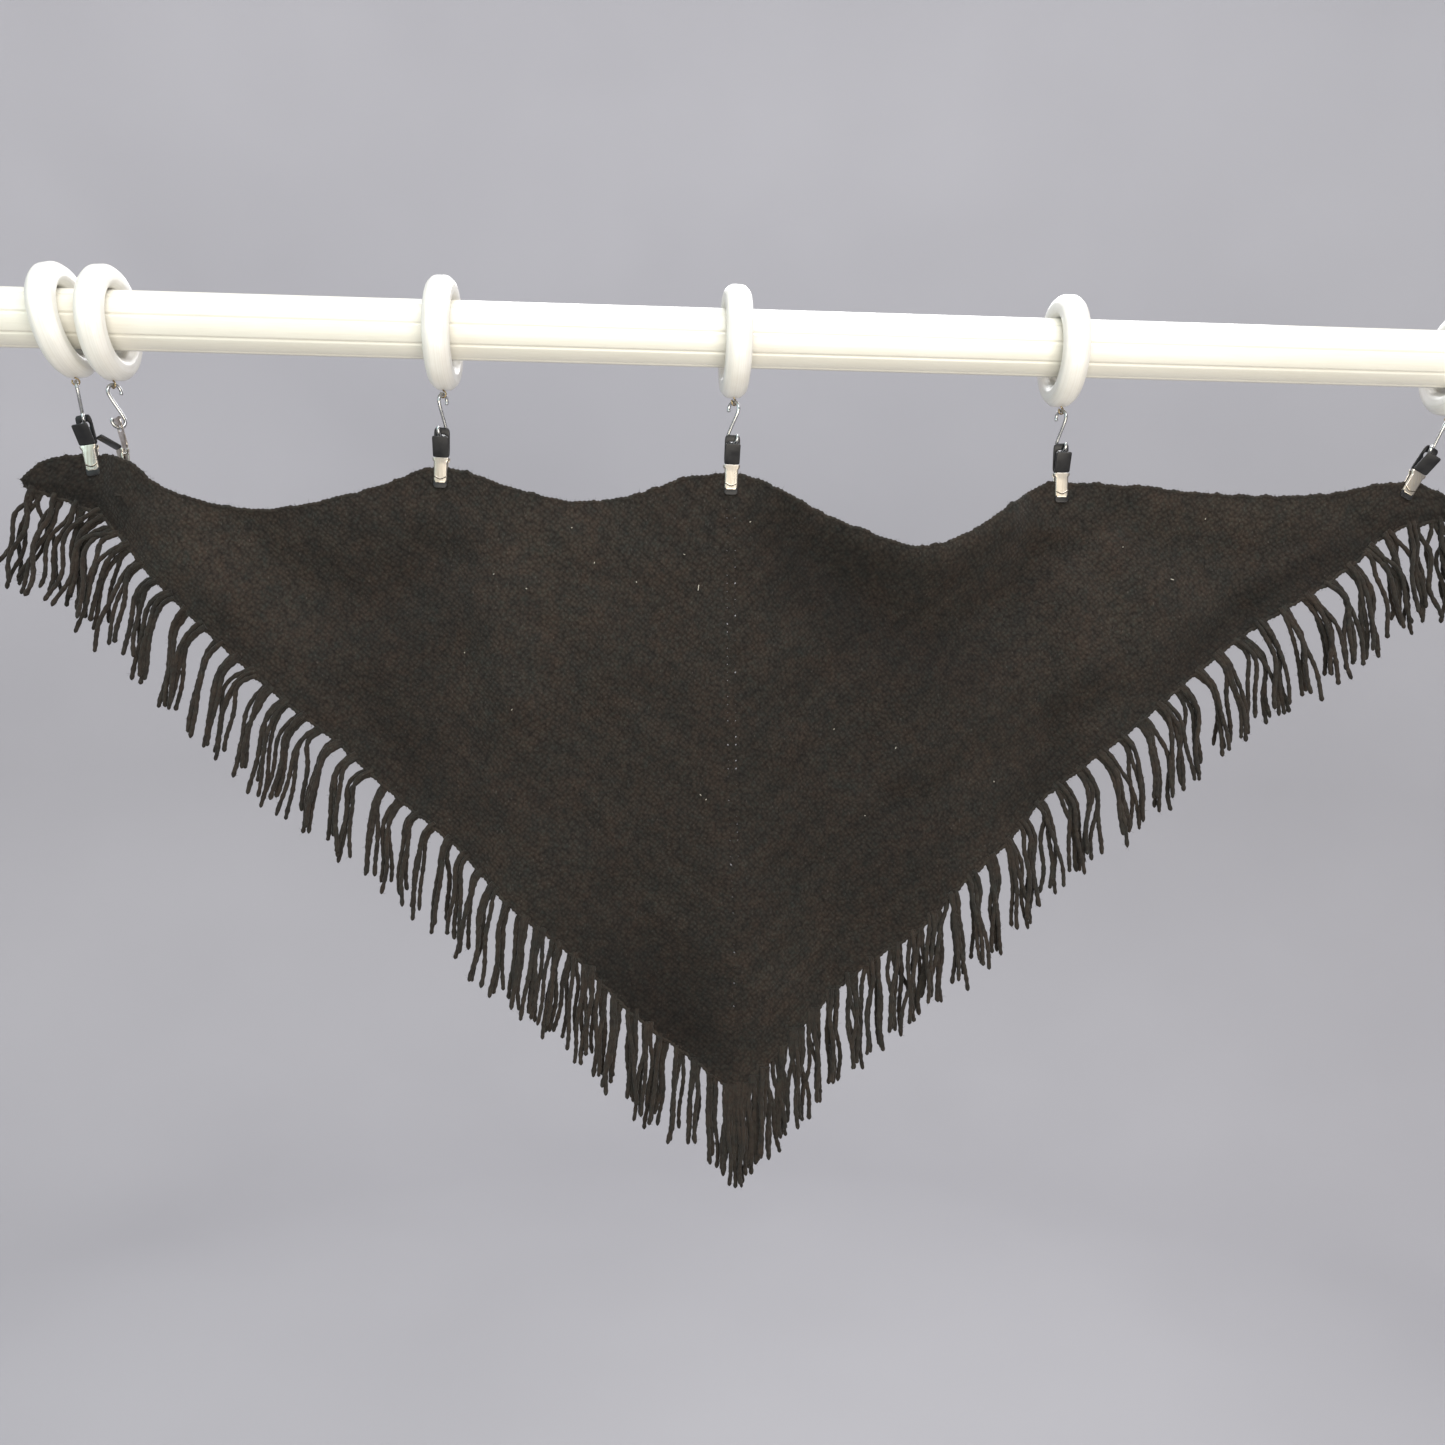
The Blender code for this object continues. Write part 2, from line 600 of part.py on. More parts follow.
def make_fringe(fringe, hem, above, finish, dice):
    side = -1 if fringe["side"] == "left" else 1
    at, bends = walk_hem(hem, above)
    count = fringe["tassels"]
    pitch = bends[-1] / count
    middles = [pitch * (k + 0.5) for k in range(count)]
    leans = []
    for k in range(count):
        # Tassel 0 is at the left end of the wing: the corner of the left wing, the tip of the right one
        from_corner = k / (count - 1) if side < 0 else 1.0 - k / (count - 1)
        leans.append(fringe["corner_lean"] + (fringe["tip_lean"] - fringe["corner_lean"]) * from_corner)
    for strip in range(STRIPS_PER_WING):
        begin = round(count * strip / STRIPS_PER_WING)
        stop = round(count * (strip + 1) / STRIPS_PER_WING)
        stops = header_stops(pitch * begin + SEAM / 2, pitch * stop - SEAM / 2, middles[begin:stop], bends)
        name = "fringe_%s_%d" % (fringe["side"], strip + 1)
        make_strip(name, at, stops, leans[begin:stop], side, finish, dice)


clear_scene()
parts = make_collection("crochet_shawl_on_pole")
finishes = {name: make_finish(name) for name in FINISHES}
dice = random.Random(SEED)
folds = rows_of(FOLD_COLUMNS, FOLDS)
fold_lines = [(fold_line(fold), fold["width"] * MM, fold["depth"] * MM) for fold in folds]

make_pole(finishes["painted wood"])
held_points = [make_station(station) for station in rows_of(STATION_COLUMNS, STATIONS)]
wing_tables = {"left": LEFT_SECTIONS, "right": RIGHT_SECTIONS}
for fringe in rows_of(FRINGE_COLUMNS, FRINGES):
    name = "shawl_%s_wing" % fringe["side"]
    hem_points, above_points = make_wing(name, wing_tables[fringe["side"]], finishes["wool"])
    make_fringe(fringe, hem_points, above_points, finishes["fringe wool"], dice)
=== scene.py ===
import math
import random

import bmesh
import bpy
import numpy as np
from mathutils import Matrix, Vector


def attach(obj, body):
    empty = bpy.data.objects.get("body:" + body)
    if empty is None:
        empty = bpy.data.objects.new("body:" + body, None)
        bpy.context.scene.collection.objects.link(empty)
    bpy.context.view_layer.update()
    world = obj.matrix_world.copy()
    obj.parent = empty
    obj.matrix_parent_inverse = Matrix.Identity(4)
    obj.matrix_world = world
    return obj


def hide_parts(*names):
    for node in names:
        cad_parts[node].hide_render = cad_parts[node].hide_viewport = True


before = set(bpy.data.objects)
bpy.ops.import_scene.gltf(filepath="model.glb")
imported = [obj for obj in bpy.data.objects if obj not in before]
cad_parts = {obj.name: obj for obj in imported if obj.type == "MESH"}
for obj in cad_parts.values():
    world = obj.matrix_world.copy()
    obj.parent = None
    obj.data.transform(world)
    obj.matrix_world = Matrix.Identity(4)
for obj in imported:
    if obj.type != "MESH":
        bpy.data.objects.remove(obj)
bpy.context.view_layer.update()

mm = 0.001
print("frame loaded:", len(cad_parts), "nodes")

# Camera, at the height of the shawl's upper half and turned a little to the right

cameraSetup = {
    "place": (-0.064, -1.116, -0.257),
    "yaw": 2.7,      # degrees to the right
    "pitch": 4.13,   # degrees down
    "roll": 1.05,
    "lens": 31.14,
    "sensor": 36.0,
}


def aimCamera():
    camera = bpy.data.objects.new("camera", bpy.data.cameras.new("camera"))
    bpy.context.scene.collection.objects.link(camera)
    camera.data.lens = cameraSetup["lens"]
    camera.data.sensor_width = cameraSetup["sensor"]
    turn = Matrix.Rotation(-math.radians(cameraSetup["yaw"]), 4, "Z")
    turn = turn @ Matrix.Rotation(math.radians(90.0 - cameraSetup["pitch"]), 4, "X")
    turn = turn @ Matrix.Rotation(math.radians(cameraSetup["roll"]), 4, "Z")
    camera.matrix_world = Matrix.Translation(cameraSetup["place"]) @ turn
    bpy.context.scene.camera = camera


aimCamera()


# Small helpers that every piece uses

def rowsOf(columns, table):
    return [dict(zip(columns, row)) for row in table]


def smooth(share):
    share = np.clip(share, 0.0, 1.0)
    return share * share * (3.0 - 2.0 * share)


def mix(first, second, share):
    return first + (second - first) * share


def unit(vectors):
    return vectors / np.maximum(np.linalg.norm(vectors, axis=-1, keepdims=True), 1e-12)


def readPoints(mesh):
    points = np.empty(len(mesh.vertices) * 3)
    mesh.vertices.foreach_get("co", points)
    return points.reshape(-1, 3)


def writePoints(mesh, points):
    mesh.vertices.foreach_set("co", np.asarray(points).ravel())
    mesh.update()


def paintUv(mesh, perVertex):
    layer = mesh.uv_layers.new(name="UVMap")
    corners = np.empty(len(mesh.loops), dtype=int)
    mesh.loops.foreach_get("vertex_index", corners)
    layer.data.foreach_set("uv", np.asarray(perVertex)[corners].ravel())


def runLengths(points):
    # Length of the line through the points, up to each of them
    return np.concatenate([[0.0], np.cumsum(np.linalg.norm(np.diff(points, axis=0), axis=1))])


def pointAt(run, lengths, points):
    return np.stack([np.interp(run, lengths, points[:, axis]) for axis in range(3)], axis=-1)


def meshFrom(form, name):
    mesh = bpy.data.meshes.new(name)
    form.to_mesh(mesh)
    form.free()
    return mesh


def addPiece(name, mesh, material, nodes=(), sharpAngle=40.0):
    mesh.materials.clear()
    mesh.materials.append(material)
    mesh.shade_smooth()
    mesh.set_sharp_from_angle(angle=math.radians(sharpAngle))
    piece = bpy.data.objects.new(name, mesh)
    bpy.context.scene.collection.objects.link(piece)
    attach(piece, "root")
    if nodes:
        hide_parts(*nodes)
    return piece


def addForms(name, forms, place, material, nodes=(), sharpAngle=40.0):
    # Forms in millimetres, joined into one piece
    joined = bmesh.new()
    for form in forms:
        joined.from_mesh(meshFrom(form, "part"))
    mesh = meshFrom(joined, name)
    mesh.transform(place @ Matrix.Scale(mm, 4))
    addPiece(name, mesh, material, nodes, sharpAngle)


def straightTube(rings, sides):
    # A tube of radius 1 whose z counts its rings, rolled up from a grid and closed at both ends
    form = bmesh.new()
    bmesh.ops.create_grid(form, x_segments=rings - 1, y_segments=sides, size=1.0)
    for vert in form.verts:
        turn = math.pi * (vert.co.y + 1.0)
        vert.co = (math.cos(turn), math.sin(turn), round((vert.co.x + 1.0) / 2.0 * (rings - 1)))
    bmesh.ops.remove_doubles(form, verts=form.verts, dist=0.001)
    bmesh.ops.holes_fill(form, edges=[edge for edge in form.edges if edge.is_boundary], sides=sides)
    bmesh.ops.recalc_face_normals(form, faces=form.faces)
    return meshFrom(form, "tube")


def layAlong(tube, route, radii, reference=(0.0, 1.0, 0.0), lobes=0.0, lobeTurns=None):
    # The straight tube's points moved onto a route, with a radius for each ring. Two lobes may wind round it.
    ring = np.rint(tube[:, 2]).astype(int)
    ahead = unit(np.gradient(route, axis=0))
    side = unit(np.cross(ahead, np.array(reference)))
    other = np.cross(ahead, side)
    turn = np.arctan2(tube[:, 1], tube[:, 0])
    reach = np.broadcast_to(radii, len(route))[ring]
    if lobes:
        reach = reach * (1.0 + lobes * np.cos(2.0 * (turn - lobeTurns[ring])))
    return (route[ring] + side[ring] * (np.cos(turn) * reach)[:, None]
            + other[ring] * (np.sin(turn) * reach)[:, None])


def wireForm(route, radius, sides=8, reference=(0.0, 1.0, 0.0)):
    tube = straightTube(len(route), sides)
    writePoints(tube, layAlong(readPoints(tube), np.asarray(route, float), radius, reference))
    form = bmesh.new()
    form.from_mesh(tube)
    return form


def thicken(form, wall, facing=0.0):
    # The wall grows against the normals, which are turned to the front (-1) or the back (1) if that is asked
    bmesh.ops.recalc_face_normals(form, faces=form.faces)
    if sum(face.normal.y for face in form.faces) * facing < 0.0:
        bmesh.ops.reverse_faces(form, faces=form.faces)
    bmesh.ops.solidify(form, geom=list(form.faces), thickness=wall)


def softenRims(form, offset, segments=3):
    rims = [edge for edge in form.edges if edge.calc_face_angle(0.0) > 1.2]
    bmesh.ops.bevel(form, geom=rims, offset=offset, segments=segments, profile=0.5,
                    affect="EDGES", material=-1)


def feed(tree, socket, value):
    # A value is a number, a colour or the socket that it comes from
    if isinstance(value, bpy.types.NodeSocket):
        tree.links.new(value, socket)
    else:
        socket.default_value = value


def setInputs(tree, node, **values):
    for name, value in values.items():
        feed(tree, node.inputs[name.replace("_", " ")], value)


def addNode(tree, kind, settings=None, **values):
    node = tree.nodes.new("ShaderNode" + kind)
    for name, value in (settings or {}).items():
        setattr(node, name, value)
    setInputs(tree, node, **values)
    return node


def startMaterial(name, **values):
    material = bpy.data.materials.new(name)
    material.use_nodes = True
    shader = material.node_tree.nodes["Principled BSDF"]
    setInputs(material.node_tree, shader, **values)
    return material, material.node_tree, shader


def noise(tree, vector, scale, detail=3.0):
    return addNode(tree, "TexNoise", Vector=vector, Scale=scale, Detail=detail).outputs["Fac"]


def objectNoise(tree, scale, detail=3.0, stretch=(1.0, 1.0, 1.0)):
    coords = addNode(tree, "TexCoord")
    mapping = addNode(tree, "Mapping", Vector=coords.outputs["Object"], Scale=stretch)
    return noise(tree, mapping.outputs["Vector"], scale, detail)


def ramp(tree, source, stops):
    node = addNode(tree, "ValToRGB", Fac=source)
    while len(node.color_ramp.elements) < len(stops):
        node.color_ramp.elements.new(0.5)
    for element, (place, colour) in zip(node.color_ramp.elements, stops):
        element.position = place
        element.color = (*colour, 1.0)
    return node.outputs["Color"]


def spread(tree, source, low, high, toLow, toHigh):
    node = addNode(tree, "MapRange", Value=source, From_Min=low, From_Max=high, To_Min=toLow, To_Max=toHigh)
    return node.outputs["Result"]


def blend(tree, mode, amount, first, second):
    node = addNode(tree, "Mix", {"data_type": "RGBA", "blend_type": mode})
    for place, value in ((0, amount), (6, first), (7, second)):
        feed(tree, node.inputs[place], value)
    return node.outputs[2]


def tinted(tree, first, second):
    return blend(tree, "MULTIPLY", 1.0, first, second)


def reckon(tree, operation, *values):
    node = addNode(tree, "Math", {"operation": operation})
    for socket, value in zip(node.inputs, values):
        feed(tree, socket, value)
    return node.outputs["Value"]


def scaled(tree, vector, factors, added=None):
    # The vector times the factors, with another vector added to it
    node = addNode(tree, "VectorMath", {"operation": "MULTIPLY_ADD" if added else "MULTIPLY"})
    for socket, value in zip(node.inputs, (vector, factors, added)):
        if value:
            feed(tree, socket, value)
    return node.outputs["Vector"]


def bumpInto(tree, shader, height, strength, distance):
    node = addNode(tree, "Bump", Strength=strength, Distance=distance, Height=height)
    setInputs(tree, shader, Normal=node.outputs["Normal"])


# Wool: crochet rows for the cloth, plain twisted yarn for the fringe and edges

woolLook = {
    "dark": (0.0131, 0.0106, 0.0095),
    "brown": (0.0236, 0.0192, 0.0165),
    "grey": (0.0245, 0.0237, 0.0207),
    "hair": (0.115, 0.108, 0.098, 1.0),
    "sheenTint": (0.82, 0.81, 0.78, 1.0),
    "patches": [(0.35, (0.92, 0.97, 0.97)), (0.65, (1.06, 1.00, 0.96))],
    "tufts": [(0.36, (0.77, 0.82, 0.84)), (0.66, (1.12, 1.06, 1.00))],
    "stitch": 3.3 * mm,  # along a row
    "row": 3.7 * mm,     # from row to row
    "wander": 0.9,       # how far the rows stray, in stitches
    # painted shade in the hollows between the stitches and painted light on their tops
    "stitchPaintedShade": [(0.0, (0.66, 0.65, 0.65)), (0.75, (1.10, 1.09, 1.08))],
    "bandStretch": (0.02, 0.22, 1.0),
    "bandShade": [(0.32, (0.86, 0.86, 0.86)), (0.68, (1.08, 1.08, 1.08))],
    # painted shade (below 0.5) and painted light (above 0.5), scaling the wool's colour
    "paintedLightScale": [(0.0, (0.50, 0.50, 0.51)), (0.5, (1.0, 1.0, 1.0)), (1.0, (1.50, 1.46, 1.40))],
}


def startWool(name):
    return startMaterial(name, Roughness=0.95, Specular_IOR_Level=0.15, Sheen_Weight=0.09,
                         Sheen_Roughness=0.45, Sheen_Tint=woolLook["sheenTint"])


def woolColours(tree):
    heather = [(0.26, woolLook["dark"]), (0.50, woolLook["brown"]), (0.68, woolLook["grey"])]
    colour = ramp(tree, objectNoise(tree, 330.0, 4.0), heather)
    colour = tinted(tree, colour, ramp(tree, objectNoise(tree, 26.0, 2.0), woolLook["patches"]))
    colour = tinted(tree, colour, ramp(tree, objectNoise(tree, 95.0), woolLook["tufts"]))
    hairs = objectNoise(tree, 900.0, 3.0, (1.0, 1.0, 0.35))
    return blend(tree, "MIX", spread(tree, hairs, 0.64, 0.80, 0.0, 0.42), colour, woolLook["hair"])


def makeClothWool():
    material, tree, shader = startWool("crochetWool")
    # The UV map is turned into stitches along a row and rows up from the hem
    size = (1.0 / woolLook["stitch"], 1.0 / woolLook["row"], 1.0)
    coords = addNode(tree, "TexCoord").outputs["UV"]
    stitches = addNode(tree, "Mapping", Vector=coords, Scale=size).outputs["Vector"]
    stray = addNode(tree, "TexNoise", Vector=stitches, Scale=0.35, Detail=2.0).outputs["Color"]
    strayed = scaled(tree, stray, (woolLook["wander"],) * 3, stitches)
    knots = addNode(tree, "TexVoronoi", {"voronoi_dimensions": "2D"}, Vector=strayed,
                    Scale=1.0, Randomness=0.60)
    dome = spread(tree, knots.outputs["Distance"], 0.05, 0.62, 1.0, 0.0)
    upward = addNode(tree, "SeparateXYZ", Vector=strayed).outputs["Y"]
    row = reckon(tree, "SINE", reckon(tree, "MULTIPLY", upward, math.tau))
    height = reckon(tree, "MULTIPLY_ADD", dome, 0.75, reckon(tree, "MULTIPLY", row, 0.09))
    height = reckon(tree, "MULTIPLY_ADD", objectNoise(tree, 1500.0), 0.5, height)
    bumpInto(tree, shader, height, 0.75, 0.8 * mm)
    # Painted shade in the hollows between the stitches and painted light on their tops
    colour = tinted(tree, woolColours(tree), ramp(tree, dome, woolLook["stitchPaintedShade"]))
    # Long faint bands along the rows, where the yarn was drawn tighter or looser
    bands = noise(tree, scaled(tree, stitches, woolLook["bandStretch"]), 1.0)
    colour = tinted(tree, colour, ramp(tree, bands, woolLook["bandShade"]))
    # The mesh's painted-light attribute is 0.5 where the colour is left as it is, less where shade is painted
    # into it and more where light is painted into it
    paintedLight = addNode(tree, "Attribute", {"attribute_name": "paintedLight"}).outputs["Fac"]
    setInputs(tree, shader, Base_Color=tinted(tree, colour, ramp(tree, paintedLight, woolLook["paintedLightScale"])))
    return material


def makeYarnWool():
    material, tree, shader = startWool("fringeWool")
    setInputs(tree, shader, Base_Color=woolColours(tree))
    bumpInto(tree, shader, objectNoise(tree, 700.0, 4.0, (1.0, 1.0, 0.4)), 0.7, 0.9 * mm)
    return material


clothWool = makeClothWool()
yarnWool = makeYarnWool()


# Other finishes

def startPaint(name):
    return startMaterial(name, Specular_IOR_Level=0.45, Coat_Weight=0.25, Coat_Roughness=0.22)


def makePolePaint():
    material, tree, shader = startPaint("polePaint")
    streaks = objectNoise(tree, 900.0, 3.0, (0.05, 1.0, 1.0))
    tint = ramp(tree, objectNoise(tree, 9.0), [(0.30, (0.68, 0.66, 0.58)), (0.70, (0.70, 0.68, 0.61))])
    shade = ramp(tree, streaks, [(0.3, (0.965, 0.96, 0.95)), (0.6, (1.0, 1.0, 1.0))])
    setInputs(tree, shader, Base_Color=tinted(tree, tint, shade),
              Roughness=spread(tree, streaks, 0.3, 0.7, 0.30, 0.46))
    bumpInto(tree, shader, streaks, 0.25, 0.15 * mm)
    return material


def makeRingPaint():
    # The ring's UV map holds the place across it and the distance from its middle, so the lines run round it
    material, tree, shader = startPaint("ringPaint")
    lines = noise(tree, addNode(tree, "TexCoord").outputs["UV"], 1400.0, 2.0)
    tint = ramp(tree, objectNoise(tree, 60.0), [(0.30, (0.70, 0.68, 0.63)), (0.70, (0.75, 0.74, 0.70))])
    shade = ramp(tree, lines, [(0.35, (0.94, 0.93, 0.91)), (0.55, (1.0, 1.0, 1.0))])
    setInputs(tree, shader, Base_Color=tinted(tree, tint, shade),
              Roughness=spread(tree, lines, 0.3, 0.7, 0.28, 0.42))
    bumpInto(tree, shader, lines, 0.3, 0.12 * mm)
    return material


def makeMetal(name, bright, dull, roughLow, roughHigh, scale, stretch=(1.0, 1.0, 1.0)):
    material, tree, shader = startMaterial(name, Metallic=1.0)
    wear = objectNoise(tree, scale, 4.0, stretch)
    setInputs(tree, shader, Base_Color=ramp(tree, wear, [(0.35, dull), (0.6, bright)]),
              Roughness=spread(tree, wear, 0.3, 0.7, roughHigh, roughLow))
    bumpInto(tree, shader, wear, 0.12, 0.05 * mm)
    return material


def makeVinyl():
    material, tree, shader = startMaterial("gripVinyl", Specular_IOR_Level=0.35)
    smears = objectNoise(tree, 120.0)
    colour = ramp(tree, smears, [(0.35, (0.005, 0.005, 0.006)), (0.70, (0.014, 0.014, 0.015))])
    setInputs(tree, shader, Base_Color=colour, Roughness=spread(tree, smears, 0.3, 0.7, 0.30, 0.50))
    bumpInto(tree, shader, objectNoise(tree, 1600.0), 0.25, 0.08 * mm)
    return material


polePaint = makePolePaint()
ringPaint = makeRingPaint()
eyeBrass = makeMetal("eyeBrass", (0.44, 0.34, 0.20), (0.24, 0.18, 0.11), 0.28, 0.50, 700.0)
hookChrome = makeMetal("hookChrome", (0.52, 0.53, 0.53), (0.38, 0.38, 0.37), 0.22, 0.34, 120.0)
jawNickel = makeMetal("jawNickel", (0.54, 0.50, 0.44), (0.40, 0.36, 0.30), 0.26, 0.44, 500.0, (1.0, 1.0, 0.1))
gripChrome = makeMetal("gripChrome", (0.60, 0.55, 0.50), (0.36, 0.30, 0.25), 0.12, 0.30, 160.0)
# Dark metal for the painted shadow lines below the jaws' chevrons
jawShade = makeMetal("jawShade", (0.10, 0.085, 0.07), (0.05, 0.045, 0.04), 0.45, 0.60, 500.0)
gripVinyl = makeVinyl()
print("finishes made")


# Ring stations, with the same hang as the solids: x of the ring's middle (mm) and angles in degrees. The last
# two turn ring D a little, and clip B by more, about the vertical.

stationColumns = ("name", "x", "tilt", "lean", "hookTurn", "splay", "ringTurn", "clipTurn")
stations = rowsOf(stationColumns, [
    ("a", -581.5, 10.0, 10.6, 113.0, 28.0, 0.0, 0.0),
    ("b", -543.5, 3.0, 7.0, 50.0, 58.0, 0.0, -50.0),
    ("c", -260.0, 0.0, -1.5, 65.0, 24.0, 0.0, 0.0),
    ("d", -6.5, 0.0, -1.0, 135.0, 24.0, 3.0, 0.0),
    ("e", 285.5, 0.0, 2.0, 118.0, 24.0, 0.0, 0.0),
    ("f", 648.0, -8.0, -28.0, 58.5, 32.0, 0.0, 0.0),
])
ringSizes = {
    "outer": 48.0, "inner": 28.6, "halfWidth": 11.2, "crownHalf": 5.5, "crownRise": 5.0,
    "solidSides": 20,  # of the plain ring whose hang this one keeps
    "spinSteps": 96, "edgeRound": 2.2,
}
poleSizes = {"radius": 25.0, "length": 1450.0, "grooves": 9, "grooveHalf": 4.6, "grooveDepth": 0.9,
             "firstGroove": -1.5, "sides": 360}
eyeSizes = {"wire": 0.75, "loop": 2.8, "shank": 0.8, "sweep": 300.0, "steps": 36,
            "neckTop": 2.4, "neckLow": 0.98}  # the neck's two ends above the loop
hookSizes = {"wire": 1.5, "arc": 5.9, "height": 36.6, "arcStart": -15.0, "arcSweep": 220.0,
             "steps": 30, "pull": 9.0, "shankSteps": 16}
hangSizes = {"gap": 0.3, "jawMiddle": 70.5}  # the solids' gap, and the depth at which a jaw holds the cloth


def placeStation(station):
    tilt = math.radians(abs(station["tilt"]))
    reach = ringSizes["inner"] * math.cos(math.pi / ringSizes["solidSides"]) * math.cos(tilt)
    drop = reach - ringSizes["crownHalf"] * math.sin(tilt) - poleSizes["radius"] - hangSizes["gap"]
    ring = Matrix.Translation((station["x"] * mm, 0.0, -drop * mm))
    ring = ring @ Matrix.Rotation(-math.radians(station["tilt"]), 4, "Y")
    below = ringSizes["outer"] + hangSizes["gap"] + eyeSizes["shank"] + eyeSizes["loop"]
    eye = ring @ Matrix.Translation((0.0, 0.0, -below * mm))
    hang = Matrix.Translation(eye.translation) @ Matrix.Rotation(-math.radians(station["lean"]), 4, "Y")
    station["ringPlace"] = ring @ Matrix.Rotation(math.radians(station["ringTurn"]), 4, "Z")
    station["eyePlace"] = eye
    station["hangPlace"] = hang
    station["clipPlace"] = hang @ Matrix.Rotation(math.radians(station["clipTurn"]), 4, "Z")
    station["held"] = hang @ Vector((0.0, 0.0, -hangSizes["jawMiddle"] * mm))


for station in stations:
    placeStation(station)


# Shawl cloth. Each section is a line from the top edge down to the hem (mm).

sectionColumns = ("topX", "topZ", "topY", "hemX", "hemZ", "hemY")
leftSections = [
    (-621, -137, 4, -619, -143, 4),
    (-606, -125, 2, -606, -147, 5),
    (-588, -118, 0, -589, -153, 5),
    (-571, -116, 0, -573, -158, 4),
    (-558, -115.5, 0, -561, -163, 4),
    (-551, -116, -1.5, -553, -168, 3),
    (-544, -116.5, -5, -546, -175, 3),
    (-537, -117.5, -9.5, -538, -184, 2),
    (-528, -120, -10.5, -527, -197, 0),
    (-517, -127.5, -9, -512, -215, -3),
    (-503, -140, -6, -497, -230, -6),
    (-465, -153, -6, -460, -266, -6),
    (-420, -158, 0, -412, -314, 2),
    (-365, -150, 5, -355, -361, 5),
    (-310, -134, 3, -305, -408, 6),
    (-275, -120, 0, -270, -434, 2),
    (-248, -120.5, 0, -243, -456, -3),
    (-200, -135.5, -4, -196, -508, -6),
    (-145, -146, 2, -142, -553, 2),
    (-95, -139, 2, -92, -603, 5),
    (-50, -124, 0, -44, -642, 3),
    (-24, -119.5, 0, -12, -664, -2),
    (-8, -119, 0, 4, -676, -2),
]
rightSections = [
    leftSections[-1],
    (8, -120, 0, 20, -662, -2),
    (32, -131, -2, 47, -638, 2),
    (72, -151, -3, 88, -592, 4),
    (120, -171, -4, 132, -553, 2),
    (155, -180, -4, 172, -525, -2),
    (195, -170, -4, 212, -479, -4),
    (235, -144, -2, 255, -441, 2),
    (274, -120.5, 0, 288, -402, 5),
    (302, -119.5, 0, 318, -375, 2),
    (355, -121, -3, 366, -335, -3),
    (415, -125, 2, 420, -289, 3),
    (470, -127, 2, 474, -245, 4),
    (530, -124, -2, 528, -209, -2),
    (570, -116, 0, 566, -180, -4),
    (590, -113, 0, 585, -162, 0),
    (612, -111, 0, 607, -150, 2),
    (626, -116, 0, 625, -147, 3),
    (643, -124, -2, 641, -143, 3),
    (660, -136, -4, 656, -149, 2),
    (674, -150, -4, 670, -156, 0),
]
# Each fold starts, passes a middle point and ends (x and z, mm). It has faded to about a third at its width,
# and its depth is positive for a trough and negative for a ridge towards the front.
foldColumns = ("x1", "z1", "x2", "z2", "x3", "z3", "width", "depth")
folds = rowsOf(foldColumns, [
    (42, -128, 155, -182, 250, -137, 26, -22),      # cowl lip between the fourth and fifth rings
    (62, -150, 172, -246, 278, -178, 32, 17),       # cowl scoop under it
    (-250, -150, -222, -235, -195, -318, 30, -10),  # fall below the third ring
    (-150, -175, -131, -228, -118, -290, 28, -7),
    (288, -150, 296, -215, 318, -280, 28, -9),      # fall below the fifth ring
    (-440, -175, -350, -235, -262, -195, 34, 12),   # swag between the second and third rings
    (-505, -165, -478, -195, -450, -235, 28, -9),
    (-335, -325, -312, -362, -290, -398, 26, 9),
    (-100, -500, -66, -560, -30, -625, 30, 8),
    (0, -480, 0, -570, 4, -660, 24, -5),
    (157, -410, 220, -380, 285, -352, 22, 7),
    (297, -333, 338, -320, 378, -305, 20, 6),
    (262, -425, 280, -393, 300, -360, 22, 6),
    (415, -285, 434, -260, 462, -228, 22, 7),
    (340, -150, 450, -180, 555, -142, 28, 7),
    (395, -281, 505, -207, 598, -154, 13, 4),       # the right hem rolls back a little
    # Narrow creases on top of the folds
    (-262, -165, -285, -205, -300, -262, 9, 1.6),
    (-246, -168, -236, -230, -238, -300, 8, 1.3),
    (-20, -165, -52, -225, -66, -300, 9, 1.5),
    (6, -160, 44, -205, 70, -262, 9, 1.7),
    (276, -165, 250, -215, 236, -290, 9, 1.6),
    (300, -165, 332, -215, 350, -275, 8, 1.4),
    (-560, -140, -540, -170, -515, -188, 7, 1.8),
    (-575, -150, -566, -156, -556, -166, 6, -1.6),
    (600, -140, 560, -158, 500, -168, 8, 1.6),
    (96, -196, 170, -226, 240, -206, 7, -1.6),
    (112, -262, 176, -282, 236, -262, 9, 1.3),
    (-210, -360, -150, -420, -90, -446, 12, 1.5),
    (40, -470, 100, -450, 150, -410, 12, 1.4),
    (-116, -180, -76, -238, -56, -256, 6, 0.9),
    (-92, -268, -70, -284, -58, -302, 6, 0.9),
])
